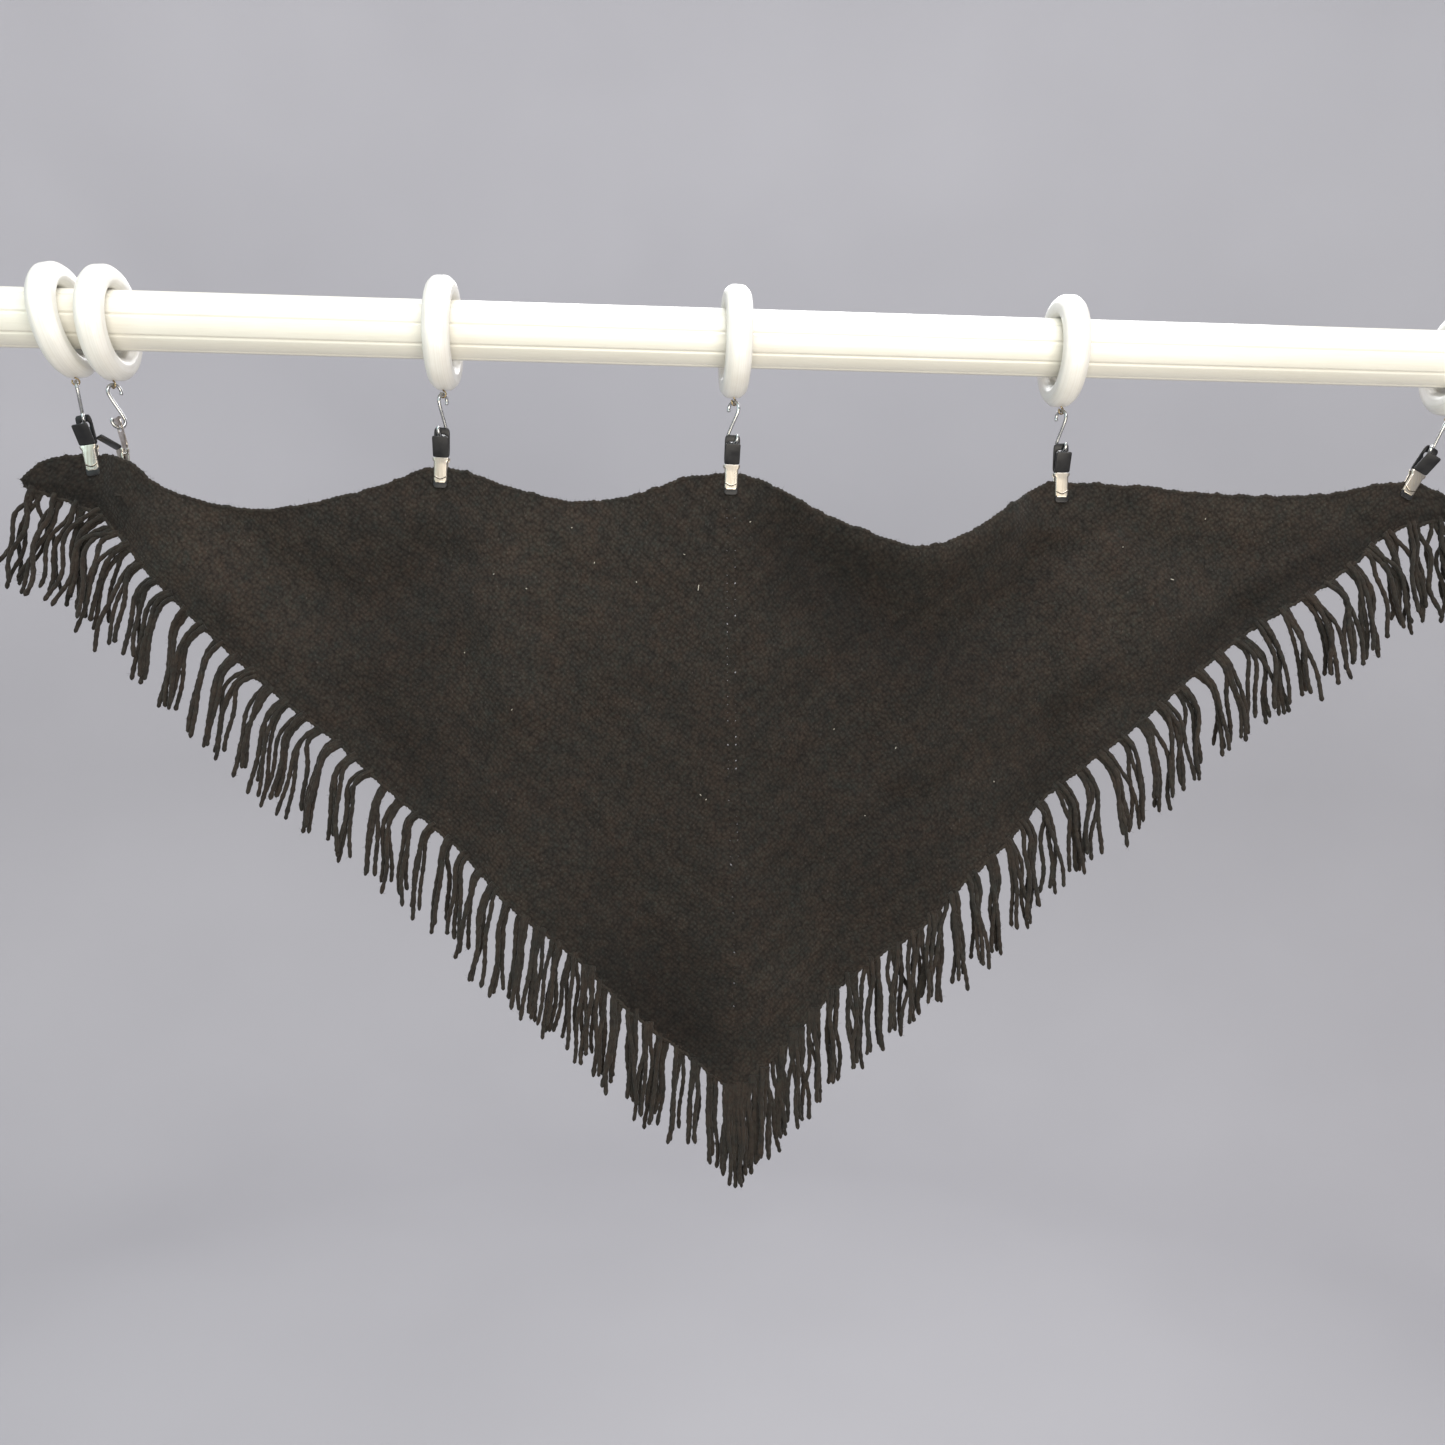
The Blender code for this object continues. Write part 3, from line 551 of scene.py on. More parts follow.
# Painted shade (below 0) and painted light (above 0) in the cloth's colour, where the folds look darker or
# paler: middle x and z, reach along and across (mm), turn, amount
paintedLightColumns = ("x", "z", "long", "wide", "turn", "amount")
paintedLightPatches = rowsOf(paintedLightColumns, [
    (172, -232, 95, 34, 4, 0.02),       # slight painted light in the cowl's scoop
    (175, -181, 70, 12, 0, 0.08),       # painted light on its lip
    (-566, -152, 46, 34, -25, -0.38),   # painted shade under the first two clips
    (-62, -592, 88, 54, -40, -0.40),    # painted shade left of the spine, above the tip
    (-292, -262, 95, 58, -70, -0.16),
    (150, -312, 115, 34, 5, -0.12),
    (66, -182, 62, 26, -35, -0.17),
    (-308, -372, 40, 22, -38, -0.15),
    (282, -392, 44, 26, 38, -0.10),
    (430, -266, 72, 22, 38, -0.24),
    (548, -176, 105, 22, 33, -0.34),
    (-180, -225, 42, 85, 8, 0.12),
    (-130, -200, 38, 60, 5, 0.09),
    (-445, -195, 84, 42, -35, 0.12),
    (335, -215, 42, 55, 15, 0.11),
    (480, -142, 90, 20, 4, 0.11),
    (45, -590, 34, 62, 8, 0.05),
    (120, -420, 120, 130, 30, -0.10),
    (-250, -380, 150, 60, -38, -0.06),
    (40, -196, 58, 32, -52, -0.24),     # painted shade: these three lie in an arc below the cowl
    (104, -238, 74, 34, -28, -0.30),
    (186, -272, 62, 30, -4, -0.24),
    (291, -373, 50, 24, 38, -0.18),
    (165, -436, 80, 46, 38, -0.16),
    (-20, -410, 170, 120, 0, -0.10),
    (-60, -612, 60, 16, -38, -0.18),
    (-486, -190, 30, 58, -40, 0.24),
    (262, -212, 44, 26, 20, -0.14),
    (136, -520, 60, 26, 38, -0.10),
    (409, -146, 46, 20, 4, 0.18),
    (540, -142, 50, 16, 4, 0.18),
    (-211, -313, 40, 34, 0, 0.10),
])
clothSizes = {
    "wall": 2.7,
    "heldDepth": 24.0, "heldShare": 0.55,     # cloth below the top edge that the jaws hold flat
    "calmRadius": 22.0, "calmBlend": 40.0,    # round each clip
    "rows": 154,
    "cells": [1.3, 1.3, 1.8, 1.8, 2.0, 2.3, 2.6, 3.0, 3.4, 3.8],  # columns out from the spine, then even ones
    "cell": 4.2,
    "fineColumns": 8,                          # beside the spine, with rows half as high
    "eyeletColumn": 2, "eyeletStep": 4,        # in half rows
    "eyeletFirst": 0.045, "eyeletLast": 0.93,
    "eyeletSizes": [0.2, 0.25, 0.3, 0.35, 0.45, 0.55, 0.8], "eyeletSeed": 5,
    "spineRib": 0.55, "ribReach": 2.2, "ribStart": 0.03, "spineOverlap": 0.7,
    "dent": 0.5, "dentPlace": 3.5, "dentReach": 1.6, "dentBetween": 0.35,  # beside each eyelet
    "steepness": 0.6,                          # how much the slope of the cloth counts in its columns' widths
    "samples": 4001, "hemSamples": 1201, "hemAbove": 0.97,
    # the painted-light attribute is lowered a little near the hem, so the wool is darker towards the hem
    "hemDarkening": 0.05, "hemDarkeningReach": 40.0,
    "spineBow": 5.0, "spineBowMiddle": 0.80, "spineBowLength": 0.20, "spineBowReach": 70.0,
    "scallop": 1.3, "scallopReach": 14.0,
    "swell": 0.55, "swellSeed": 41,            # soft unevenness: lengths and sizes of its waves
    "swellWaves": [(150, 0.9), (115, 0.8), (84, 0.6), (62, 0.5), (45, 0.35), (33, 0.28), (24, 0.2),
                   (17, 0.14)],
    "rowsAcross": 700.0, "rowsDown": 560.0,    # the flat half triangle that the rows of stitches follow
}
wingColumns = ("side", "sections", "spineEnd", "tassels")
wings = rowsOf(wingColumns, [("left", leftSections, "last", 44), ("right", rightSections, "first", 37)])


def sectionAt(table, place):
    # Smooth curve through the table's rows, at places counted in rows
    rows = np.array(table, dtype=float)
    last = len(rows) - 1
    start = np.clip(np.floor(place).astype(int), 0, last - 1)
    share = (place - start)[:, None]
    before, here = rows[np.maximum(start - 1, 0)], rows[start]
    after, beyond = rows[start + 1], rows[np.minimum(start + 2, last)]
    bend = 2 * here + (after - before) * share + (2 * before - 5 * here + 4 * after - beyond) * share ** 2
    return (bend + (3 * here - before - 3 * after + beyond) * share ** 3) / 2


def columnsOf(section, *names):
    return [section[:, sectionColumns.index(name)] for name in names]


def lineDistance(x, z, fold):
    start, middle, end = (np.array([fold["x" + point], fold["z" + point]], float) for point in "123")
    bend = middle * 2 - (start + end) / 2
    steps = np.linspace(0.0, 1.0, 17)[:, None]
    line = start * (1 - steps) ** 2 + bend * 2 * steps * (1 - steps) + end * steps ** 2
    nearest = np.full(x.shape, 1e6)
    for a, b in zip(line, line[1:]):
        along = b - a
        share = np.clip(((x - a[0]) * along[0] + (z - a[1]) * along[1]) / along.dot(along), 0.0, 1.0)
        nearest = np.minimum(nearest, np.hypot(x - a[0] - share * along[0], z - a[1] - share * along[1]))
    return nearest


def makeSwell():
    dice = random.Random(clothSizes["swellSeed"])
    waves = []
    for length, size in clothSizes["swellWaves"]:
        for _ in range(2):
            heading = dice.uniform(0.0, math.tau)
            phase = dice.uniform(0, math.tau)
            waves.append((math.cos(heading) / length, math.sin(heading) / length, phase, size))
    return waves


swellWaves = makeSwell()


def foldDepth(x, z):
    depth = np.zeros(x.shape)
    for fold in folds:
        depth += fold["depth"] * np.exp(-(lineDistance(x, z, fold) / fold["width"]) ** 2)
    for across, up, phase, size in swellWaves:
        depth += clothSizes["swell"] * size * np.sin(math.tau * (x * across + z * up) + phase)
    for station in stations:
        away = np.hypot(x - station["held"].x / mm, z - station["held"].z / mm)
        depth *= smooth((away - clothSizes["calmRadius"]) / clothSizes["calmBlend"])
    return depth


def clothPoints(table, place, fall):
    # Points of the cloth's middle layer (mm), at places along the table and shares of the fall to the hem
    topX, topZ, topY, hemX, hemZ, hemY = columnsOf(sectionAt(table, place), *sectionColumns)
    length = np.hypot(hemX - topX, hemZ - topZ)
    held = np.minimum(clothSizes["heldDepth"] / length, clothSizes["heldShare"])
    x = mix(topX, hemX, fall)
    z = mix(topZ, hemZ, fall)
    spine = dict(zip(sectionColumns, leftSections[-1]))
    fromSpine = np.abs(x - mix(spine["topX"], spine["hemX"], fall))
    bowed = (fall - clothSizes["spineBowMiddle"]) / clothSizes["spineBowLength"]
    bow = clothSizes["spineBow"] * np.exp(-bowed ** 2)
    x = x + bow * np.exp(-(fromSpine / clothSizes["spineBowReach"]) ** 2)
    loosened = smooth((fall - held) / (1.0 - held))
    y = mix(topY, hemY, loosened) + foldDepth(x, z)
    return np.stack([x, y, z], axis=1), length, fromSpine


def columnStops(table, spineEnd):
    # Places along the table for the cloth's columns: narrow ones beside the spine, wider ones further out
    places = np.linspace(0.0, len(table) - 1, clothSizes["samples"])
    topX, topZ, hemX, hemZ = columnsOf(sectionAt(table, places), "topX", "topZ", "hemX", "hemZ")
    middleX, middleZ = (topX + hemX) / 2, (topZ + hemZ) / 2
    run = runLengths(np.stack([middleX, clothSizes["steepness"] * middleZ], axis=1))
    if spineEnd == "last":
        run = run[-1] - run
    inner = np.cumsum([0.0] + clothSizes["cells"])
    even = max(1, round((run.max() - inner[-1]) / clothSizes["cell"]))
    stops = np.concatenate([inner, np.linspace(inner[-1], run.max(), even + 1)[1:]])
    order = np.argsort(run)
    return np.interp(stops, run[order], places[order])


def paintLightAndShade(mesh, points, up):
    # Painted shade (amounts below 0) and painted light (above 0) for the wool's colour, kept as a mesh
    # attribute
    paintedLight = np.full(len(points), 0.5) - clothSizes["hemDarkening"] * smooth(1.0 - up / clothSizes["hemDarkeningReach"])
    for patch in paintedLightPatches:
        turn = math.radians(patch["turn"])
        x, z = points[:, 0] - patch["x"], points[:, 2] - patch["z"]
        along = (x * math.cos(turn) + z * math.sin(turn)) / patch["long"]
        across = (z * math.cos(turn) - x * math.sin(turn)) / patch["wide"]
        paintedLight += patch["amount"] * np.exp(-(along ** 2 + across ** 2))
    layer = mesh.attributes.new("paintedLight", "FLOAT", "POINT")
    layer.data.foreach_set("value", paintedLight)


def eyeletGrid(columns, rows, seed):
    # A flat grid from -1 to 1, with eyelets along its side at x = -1, which becomes the spine
    form = bmesh.new()
    bmesh.ops.create_grid(form, x_segments=columns, y_segments=rows, size=1.0)

    def columnOf(co):
        return (co.x + 1.0) / 2.0 * columns

    # Rows beside the spine are halved, so that the eyelets can be small
    upright = [edge for edge in form.edges
               if abs(edge.verts[0].co.x - edge.verts[1].co.x) < 1e-6
               and columnOf(edge.verts[0].co) < clothSizes["fineColumns"] + 0.5]
    bmesh.ops.subdivide_edges(form, edges=upright, cuts=1, use_grid_fill=True)
    dice = random.Random(seed)
    eyelets = []
    for face in form.faces:
        middle = face.calc_center_median()
        halfRow = (1.0 - middle.y) * rows
        share = halfRow / (2.0 * rows)
        if int(columnOf(middle)) != clothSizes["eyeletColumn"] or int(halfRow) % clothSizes["eyeletStep"]:
            continue
        if clothSizes["eyeletFirst"] < share < clothSizes["eyeletLast"]:
            eyelets.append(face)
            # The yarn's fuzz leaves most of the eyelets nearly closed
            opened = dice.choice(clothSizes["eyeletSizes"])
            for vert in face.verts:
                vert.co = middle + (vert.co - middle) * opened
    bmesh.ops.delete(form, geom=eyelets, context="FACES")
    return meshFrom(form, "wing")


def walled(mesh):
    # The mesh with a wall that stands on both sides of it
    raw = bpy.data.objects.new("wing", mesh)
    bpy.context.scene.collection.objects.link(raw)
    wall = raw.modifiers.new("wall", "SOLIDIFY")
    wall.thickness = clothSizes["wall"] * mm
    wall.offset = 0.0
    bpy.context.view_layer.update()
    solid = bpy.data.meshes.new_from_object(raw.evaluated_get(bpy.context.evaluated_depsgraph_get()))
    bpy.data.objects.remove(raw, do_unlink=True)
    form = bmesh.new()
    form.from_mesh(solid)
    bmesh.ops.recalc_face_normals(form, faces=form.faces)
    form.to_mesh(solid)
    form.free()
    return solid


def makeWing(wing):
    table, spineEnd = wing["sections"], wing["spineEnd"]
    stops = columnStops(table, spineEnd)
    columns, rows = len(stops) - 1, clothSizes["rows"]
    mesh = eyeletGrid(columns, rows, clothSizes["eyeletSeed"] + wing["tassels"])
    grid = readPoints(mesh)
    place = np.interp((grid[:, 0] + 1.0) / 2.0 * columns, np.arange(columns + 1), stops)
    fall = (1.0 - grid[:, 1]) / 2.0
    points, length, fromSpine = clothPoints(table, place, fall)

    # The rib along the spine stands out, and the cloth dips beside each eyelet
    halfRow = fall * 2.0 * rows
    pulse = 0.5 + 0.5 * np.cos(math.tau * (halfRow - 0.5) / clothSizes["eyeletStep"])
    relief = clothSizes["spineRib"] * np.exp(-(fromSpine / clothSizes["ribReach"]) ** 2)
    dented = np.exp(-((fromSpine - clothSizes["dentPlace"]) / clothSizes["dentReach"]) ** 2)
    relief -= clothSizes["dent"] * dented * mix(clothSizes["dentBetween"], 1.0, pulse)
    points[:, 1] -= relief * smooth(fall / clothSizes["ribStart"])

    # Between two tassels the hem draws up a little
    hemPoints, hemLengths, _ = hemLine(table)
    hemRun = np.interp(place, hemPoints[:, 3], hemLengths)
    if spineEnd == "first":
        hemRun = hemLengths[-1] - hemRun
    phase = math.tau * hemRun / hemLengths[-1] * wing["tassels"]
    up = (1.0 - fall) * length
    points[:, 2] += scallopAt(phase) * smooth(1.0 - up / clothSizes["scallopReach"])

    # Rows run along the hem: u follows it, and v is the distance up from it
    slope = math.hypot(clothSizes["rowsAcross"], clothSizes["rowsDown"])
    u = hemRun - up * clothSizes["rowsDown"] / slope
    v = up * clothSizes["rowsAcross"] / slope
    paintUv(mesh, np.stack([u, v], axis=1) * mm)
    # Painted shade and painted light for the cloth's colour
    paintLightAndShade(mesh, points, up)
    # The two wings overlap a little at the spine
    points[:, 0] += clothSizes["spineOverlap"] * (1.0 if spineEnd == "last" else -1.0) * (fromSpine < 0.01)
    writePoints(mesh, points * mm)
    side = wing["side"]
    return addPiece("cloth_" + side, walled(mesh), clothWool, ["shawl_%s_wing" % side], 60.0)


def scallopAt(phase):
    return clothSizes["scallop"] * (0.5 + 0.5 * np.cos(phase))


def hemLine(table):
    # Points of the hem with their place in the table, the length up to each, and the way out of the cloth
    places = np.linspace(0.0, len(table) - 1, clothSizes["hemSamples"])
    points, _, _ = clothPoints(table, places, np.ones(len(places)))
    above, _, _ = clothPoints(table, places, np.full(len(places), clothSizes["hemAbove"]))
    along = unit(np.gradient(points, axis=0))
    down = points - above
    out = unit(down - along * np.sum(down * along, axis=1, keepdims=True))
    return np.column_stack([points, places]), runLengths(points), out


leftCloth, rightCloth = [makeWing(wing) for wing in wings]
print("cloth made:", len(leftCloth.data.polygons) + len(rightCloth.data.polygons), "faces")


# Edge of the crochet: its small tight loops, as a lumpy cord along the top edge and another along the hem

edgingSizes = {
    "radius": 1.75, "lump": 0.15, "pitch": 4.1, "lobes": 0.12, "step": 1.0, "sides": 8,
    "wander": 0.65, "wanderStep": 5.0, "swollen": 0.3,   # how far the edge strays, and grows thicker with it
    "samples": 4001, "seed": 23,
}


def edgeRoute(table, fall):
    places = np.linspace(0.0, len(table) - 1, edgingSizes["samples"])
    points, _, _ = clothPoints(table, places, np.full(len(places), fall))
    lengths = runLengths(points)
    stops = np.linspace(0.0, lengths[-1], int(lengths[-1] / edgingSizes["step"]))
    return pointAt(stops, lengths, points), stops


def makeEdging(wing):
    form = bmesh.new()
    placed = []
    dice = np.random.default_rng(edgingSizes["seed"] + wing["tassels"])
    for fall in (0.0, 1.0):
        route, run = edgeRoute(wing["sections"], fall)
        knots = np.arange(0.0, run[-1] + 8.0, edgingSizes["wanderStep"])  # a little past the edge's end
        wander = np.interp(run, knots, dice.normal(0.0, edgingSizes["wander"], len(knots)))
        route[:, 2] += wander
        if fall == 1.0:
            route[:, 2] += scallopAt(math.tau * run / run[-1] * wing["tassels"])
        radii = edgingSizes["radius"] + edgingSizes["lump"] * np.cos(math.tau * run / edgingSizes["pitch"])
        radii += edgingSizes["swollen"] * np.abs(wander)
        tube = straightTube(len(route), edgingSizes["sides"])
        turns = math.pi * run / edgingSizes["pitch"]
        placed.append(layAlong(readPoints(tube), route, radii, lobes=edgingSizes["lobes"], lobeTurns=turns))
        form.from_mesh(tube)
    mesh = meshFrom(form, "edging")
    writePoints(mesh, np.concatenate(placed) * mm)
    return addPiece("edging_" + wing["side"], mesh, yarnWool, sharpAngle=70.0)


leftEdging, rightEdging = [makeEdging(wing) for wing in wings]


# Fringe: three to six lengths of soft thick yarn in each tassel. Near the corners they leave the hem squarely
# and then bend down; near the tip they fall straight. One row for each wing, left and right.

fringeColumns = ("cornerLean", "tipLean", "cornerTurn", "tipTurn", "cornerLift", "tangle", "looseness",
                 "extraYarns")
fringes = rowsOf(fringeColumns, [
    (12.0, 1.5, 50.0, 30.0, 0.32, 1.0, 0.12, 0),
    (11.0, 0.5, 60.0, 30.0, 0.15, 0.7, 0.30, 1),
])
fringeSizes = {
    "strips": 3,
    "cornerCounts": [3, 3, 4, 4], "tipCounts": [4, 4, 5, 5],
    "radius": 2.2, "endRadius": 2.0,
    "rings": 44, "sides": 8, "crowding": 1.15,  # the rings stand closer together towards the end
    "rootDepth": 4.0,        # how far above the hem each yarn starts
    "rootStep": 2.2, "rootJitter": 0.3,      # between neighbours across the tassel
    "rootBulge": 1.6, "bulgeRest": 0.35, "bulgeReach": 6.0,   # to the front or the back of the cloth
    "cornerStart": 0.04, "tipStart": 0.82,   # how far a yarn has turned to its fall where it leaves the hem
    "straightFrom": 0.45, "straightOver": 0.45,
    "tangleReach": 0.2,      # share of the hem from the corner where the tassels are tangled
    "length": 88.0, "lengthRange": (-9.6, 6.4), "radiusRange": (0.9, 1.06), "waveRange": (0.3, 1.3),
    "liftRange": (-0.2, 2.2), "liftWay": 0.6,
    "tasselJitter": 5.0, "calmed": 0.8,      # how much calmer the tassels hang at the tip
    "loosen": 2.2, "turnJitter": 0.5, "moreYarns": 1.2,       # what a tangle does to a tassel
    "leanJitter": 1.8, "fan": 0.03, "strayShare": 0.07, "strayFan": 0.13,
    "sway": 0.045, "swayReach": 40.0, "wave": 1.0, "waveLength": 62.0, "waveReach": 30.0,
    "twist": 10.0, "lobes": 0.10, "lump": 0.09, "lumpPitch": 6.5, "slowLump": 0.05, "slowPitch": 17.0,
    "endReach": 2.6, "endClosed": 0.92,      # the rounded end
    "bunch": [(0.0, 1.0), (9.0, 6.0), (18.0, 13.0), (27.0, 20.0)],  # steps from the tip, x and z
    "bunchTurn": 30.0, "bunchTangle": 0.15,
    "seed": 7,
}
yarnTube = straightTube(fringeSizes["rings"], fringeSizes["sides"])
yarnTemplate = readPoints(yarnTube)


def tasselYarns(tassel, side, count, dice):
    # Placed points of each yarn of one tassel (mm)
    root, out, along, tangle = tassel["root"], tassel["out"], tassel["along"], tassel["tangle"]
    share = np.linspace(0.0, 1.0, fringeSizes["rings"])
    share = 1.0 - (1.0 - share) ** fringeSizes["crowding"]
    placed = []
    for k in range(count):
        loose = 1.0 + fringeSizes["loosen"] * tangle
        lean = math.radians(tassel["lean"] + dice.uniform(-1.0, 1.0) * fringeSizes["leanJitter"] * loose)
        fall = np.array([side * math.sin(lean), 0.0, -math.cos(lean)])
        length = fringeSizes["length"] + dice.uniform(*fringeSizes["lengthRange"])
        run = share * length
        turnLength = tassel["turn"] * (1.0 + fringeSizes["turnJitter"] * tangle * dice.uniform(-1.0, 1.0))
        turned = smooth(tassel["start"] + run / turnLength)[:, None]
        heading = unit(out * (1.0 - turned) + fall * turned)
        steps = np.diff(run, prepend=run[0])[:, None]
        route = root - out * fringeSizes["rootDepth"] + np.cumsum(heading * steps, axis=0)
        across = unit(np.cross(heading, np.array([0.0, 1.0, 0.0])))
        across = across * np.sign(np.sum(across * along, axis=1, keepdims=True))
        fan = dice.gauss(0.0, fringeSizes["fan"]) * loose
        if dice.random() < fringeSizes["strayShare"] * loose:
            fan += dice.choice((-1, 1)) * fringeSizes["strayFan"]
        jitter = dice.uniform(-fringeSizes["rootJitter"], fringeSizes["rootJitter"])
        offset = (k - (count - 1) / 2) * fringeSizes["rootStep"] + jitter
        wave = fringeSizes["wave"] * dice.uniform(*fringeSizes["waveRange"]) * loose
        phase = dice.uniform(0.0, math.tau)
        ripple = np.sin(math.tau * run / fringeSizes["waveLength"] + phase) - math.sin(phase)
        swayed = run * smooth(run / fringeSizes["swayReach"])
        sideways = offset + fan * swayed + wave * ripple * smooth(run / fringeSizes["waveReach"])
        frontBack = fringeSizes["rootBulge"] * (1 if (k + dice.randrange(2)) % 2 else -1)
        depth = frontBack * mix(fringeSizes["bulgeRest"], 1.0, smooth(run / fringeSizes["bulgeReach"]))
        depth = depth + dice.gauss(0.0, fringeSizes["sway"]) * loose * swayed
        route = route + across * sideways[:, None]
        route[:, 1] += depth
        radii = mix(fringeSizes["radius"], fringeSizes["endRadius"], share)
        radii = radii * dice.uniform(*fringeSizes["radiusRange"])
        lumpPhase = dice.uniform(0.0, math.tau)
        lump = fringeSizes["lump"] * np.sin(math.tau * run / fringeSizes["lumpPitch"] + lumpPhase)
        lump = lump + fringeSizes["slowLump"] * np.sin(math.tau * run / fringeSizes["slowPitch"] + phase)
        fromEnd = np.clip((length - run) / fringeSizes["endReach"], 0.0, 1.0)
        radii = radii * (1.0 + lump) * np.sqrt(1.0 - (1.0 - fromEnd) ** 2 * fringeSizes["endClosed"])
        turns = math.pi * run / fringeSizes["twist"] + phase
        placed.append(layAlong(yarnTemplate, route, radii, lobes=fringeSizes["lobes"], lobeTurns=turns))
    return placed


def hangTassels(wing, fringe, side, dice):
    # Where each tassel of a wing starts and how it hangs, from the left to the right
    hem, lengths, outs = hemLine(wing["sections"])
    count = wing["tassels"]
    tassels = []
    for k in range(count):
        run = lengths[-1] * (k + 0.5) / count
        root = pointAt(run, lengths, hem)
        out = unit(pointAt(run, lengths, outs))
        ahead = pointAt(run + 1.0, lengths, hem) - root
        fromCorner = k / (count - 1) if side < 0 else 1.0 - k / (count - 1)
        straight = float(smooth((fromCorner - fringeSizes["straightFrom"]) / fringeSizes["straightOver"]))
        lift = fringe["cornerLift"] * (1.0 - straight) * dice.uniform(*fringeSizes["liftRange"])
        lift = lift * fringeSizes["liftWay"]
        jitter = dice.uniform(-1.0, 1.0) * fringeSizes["tasselJitter"]
        jitter *= 1.0 - fringeSizes["calmed"] * straight
        tangled = float(smooth(1.0 - fromCorner / fringeSizes["tangleReach"]))
        tassels.append({
            "root": root,
            "out": unit(out + lift * np.array([side, 0.0, 1.0])),
            "along": unit(ahead),
            "start": mix(fringeSizes["cornerStart"], fringeSizes["tipStart"], straight),
            "turn": mix(fringe["cornerTurn"], fringe["tipTurn"], fromCorner),
            "lean": mix(fringe["cornerLean"], fringe["tipLean"], fromCorner) + jitter,
            "tangle": fringe["looseness"] + fringe["tangle"] * tangled,
            "counts": fringeSizes["tipCounts"] if straight > 0.5 else fringeSizes["cornerCounts"],
        })
    if side < 0:
        # A fuller bunch hangs from the tip and just to its right
        for stepX, stepZ in fringeSizes["bunch"]:
            tassels.append({
                "root": hem[-1, :3] + np.array([stepX, 0.0, stepZ]),
                "out": np.array([0.0, 0.0, -1.0]),
                "along": np.array([1.0, 0.0, 0.0]),
                "start": 1.0, "turn": fringeSizes["bunchTurn"], "lean": 0.0,
                "tangle": fringeSizes["bunchTangle"],
                "counts": fringeSizes["cornerCounts"],
            })
    return tassels


def makeFringe(wing, fringe):
    count = wing["tassels"]
    dice = random.Random(fringeSizes["seed"] + count)
    side = -1 if wing["side"] == "left" else 1
    tassels = hangTassels(wing, fringe, side, dice)
    strips = []
    for strip in range(fringeSizes["strips"]):
        begin = round(count * strip / fringeSizes["strips"])
        stop = round(count * (strip + 1) / fringeSizes["strips"])
        if strip == fringeSizes["strips"] - 1:
            stop = len(tassels)
        form = bmesh.new()
        placed = []
        for tassel in tassels[begin:stop]:
            more = round(fringeSizes["moreYarns"] * tassel["tangle"]) + fringe["extraYarns"]
            for points in tasselYarns(tassel, side, dice.choice(tassel["counts"]) + more, dice):
                placed.append(points)
                form.from_mesh(yarnTube)
        mesh = meshFrom(form, "yarns")
        writePoints(mesh, np.concatenate(placed) * mm)
        name = "%s_%d" % (wing["side"], strip + 1)
        strips.append(addPiece("yarns_" + name, mesh, yarnWool, ["fringe_" + name], 70.0))
    return strips


leftFringe, rightFringe = [makeFringe(wing, fringe) for wing, fringe in zip(wings, fringes)]
print("fringe made")


# Fuzz: short bent hairs that stand up from the cloth, its edging and the yarns

fuzzSizes = {
    "radius": 0.12, "tip": 0.4, "shortest": 1.0, "longest": 3.0,
    "spread": 0.45, "bend": 0.45, "sunk": 0.1,
    "cloth": 3600, "edging": 1700, "yarns": 1000,  # hairs on each piece of a kind
    "block": 100, "seed": 61,
}
hairTube = straightTube(3, 3)
hairTemplate = readPoints(hairTube)


def repeatedMesh(mesh, count):
    form = bmesh.new()
    for _ in range(count):
        form.from_mesh(mesh)
    return meshFrom(form, "copies")


def makeFuzz(piece, kind):
    dice = np.random.default_rng(fuzzSizes["seed"])
    count = fuzzSizes[kind]
    normals = np.empty(len(piece.data.vertices) * 3)
    piece.data.vertices.foreach_get("normal", normals)
    chosen = dice.integers(0, len(normals) // 3, count)
    root = readPoints(piece.data)[chosen]
    heading = unit(normals.reshape(-1, 3)[chosen] + dice.normal(0.0, fuzzSizes["spread"], (count, 3)))
    curl = unit(dice.normal(0.0, 1.0, (count, 3))) * fuzzSizes["bend"]
    length = dice.uniform(fuzzSizes["shortest"], fuzzSizes["longest"], (count, 1)) * mm
    # Two directions across each hair, from one that hardly any hair points along
    side = unit(np.cross(heading, np.array([0.31, 0.85, 0.42])))
    other = np.cross(heading, side)
    placed = []
    for x, y, ring in hairTemplate:
        along = ring / 2.0
        radius = fuzzSizes["radius"] * mm * mix(1.0, fuzzSizes["tip"], along)
        middle = root + (heading * (along - fuzzSizes["sunk"]) + curl * along ** 2) * length
        placed.append(middle + (side * x + other * y) * radius)
    mesh = repeatedMesh(repeatedMesh(hairTube, fuzzSizes["block"]), count // fuzzSizes["block"])
    writePoints(mesh, np.stack(placed, axis=1))
    return addPiece("fuzz_" + piece.name, mesh, yarnWool, sharpAngle=70.0)


def fuzzOver(cloth, edging, fringe):
    pieces = [makeFuzz(cloth, "cloth"), makeFuzz(edging, "edging")]
    return pieces + [makeFuzz(strip, "yarns") for strip in fringe]


leftFuzz = fuzzOver(leftCloth, leftEdging, leftFringe)
rightFuzz = fuzzOver(rightCloth, rightEdging, rightFringe)
print("fuzz made")


# Pole, with rounded lengthwise grooves

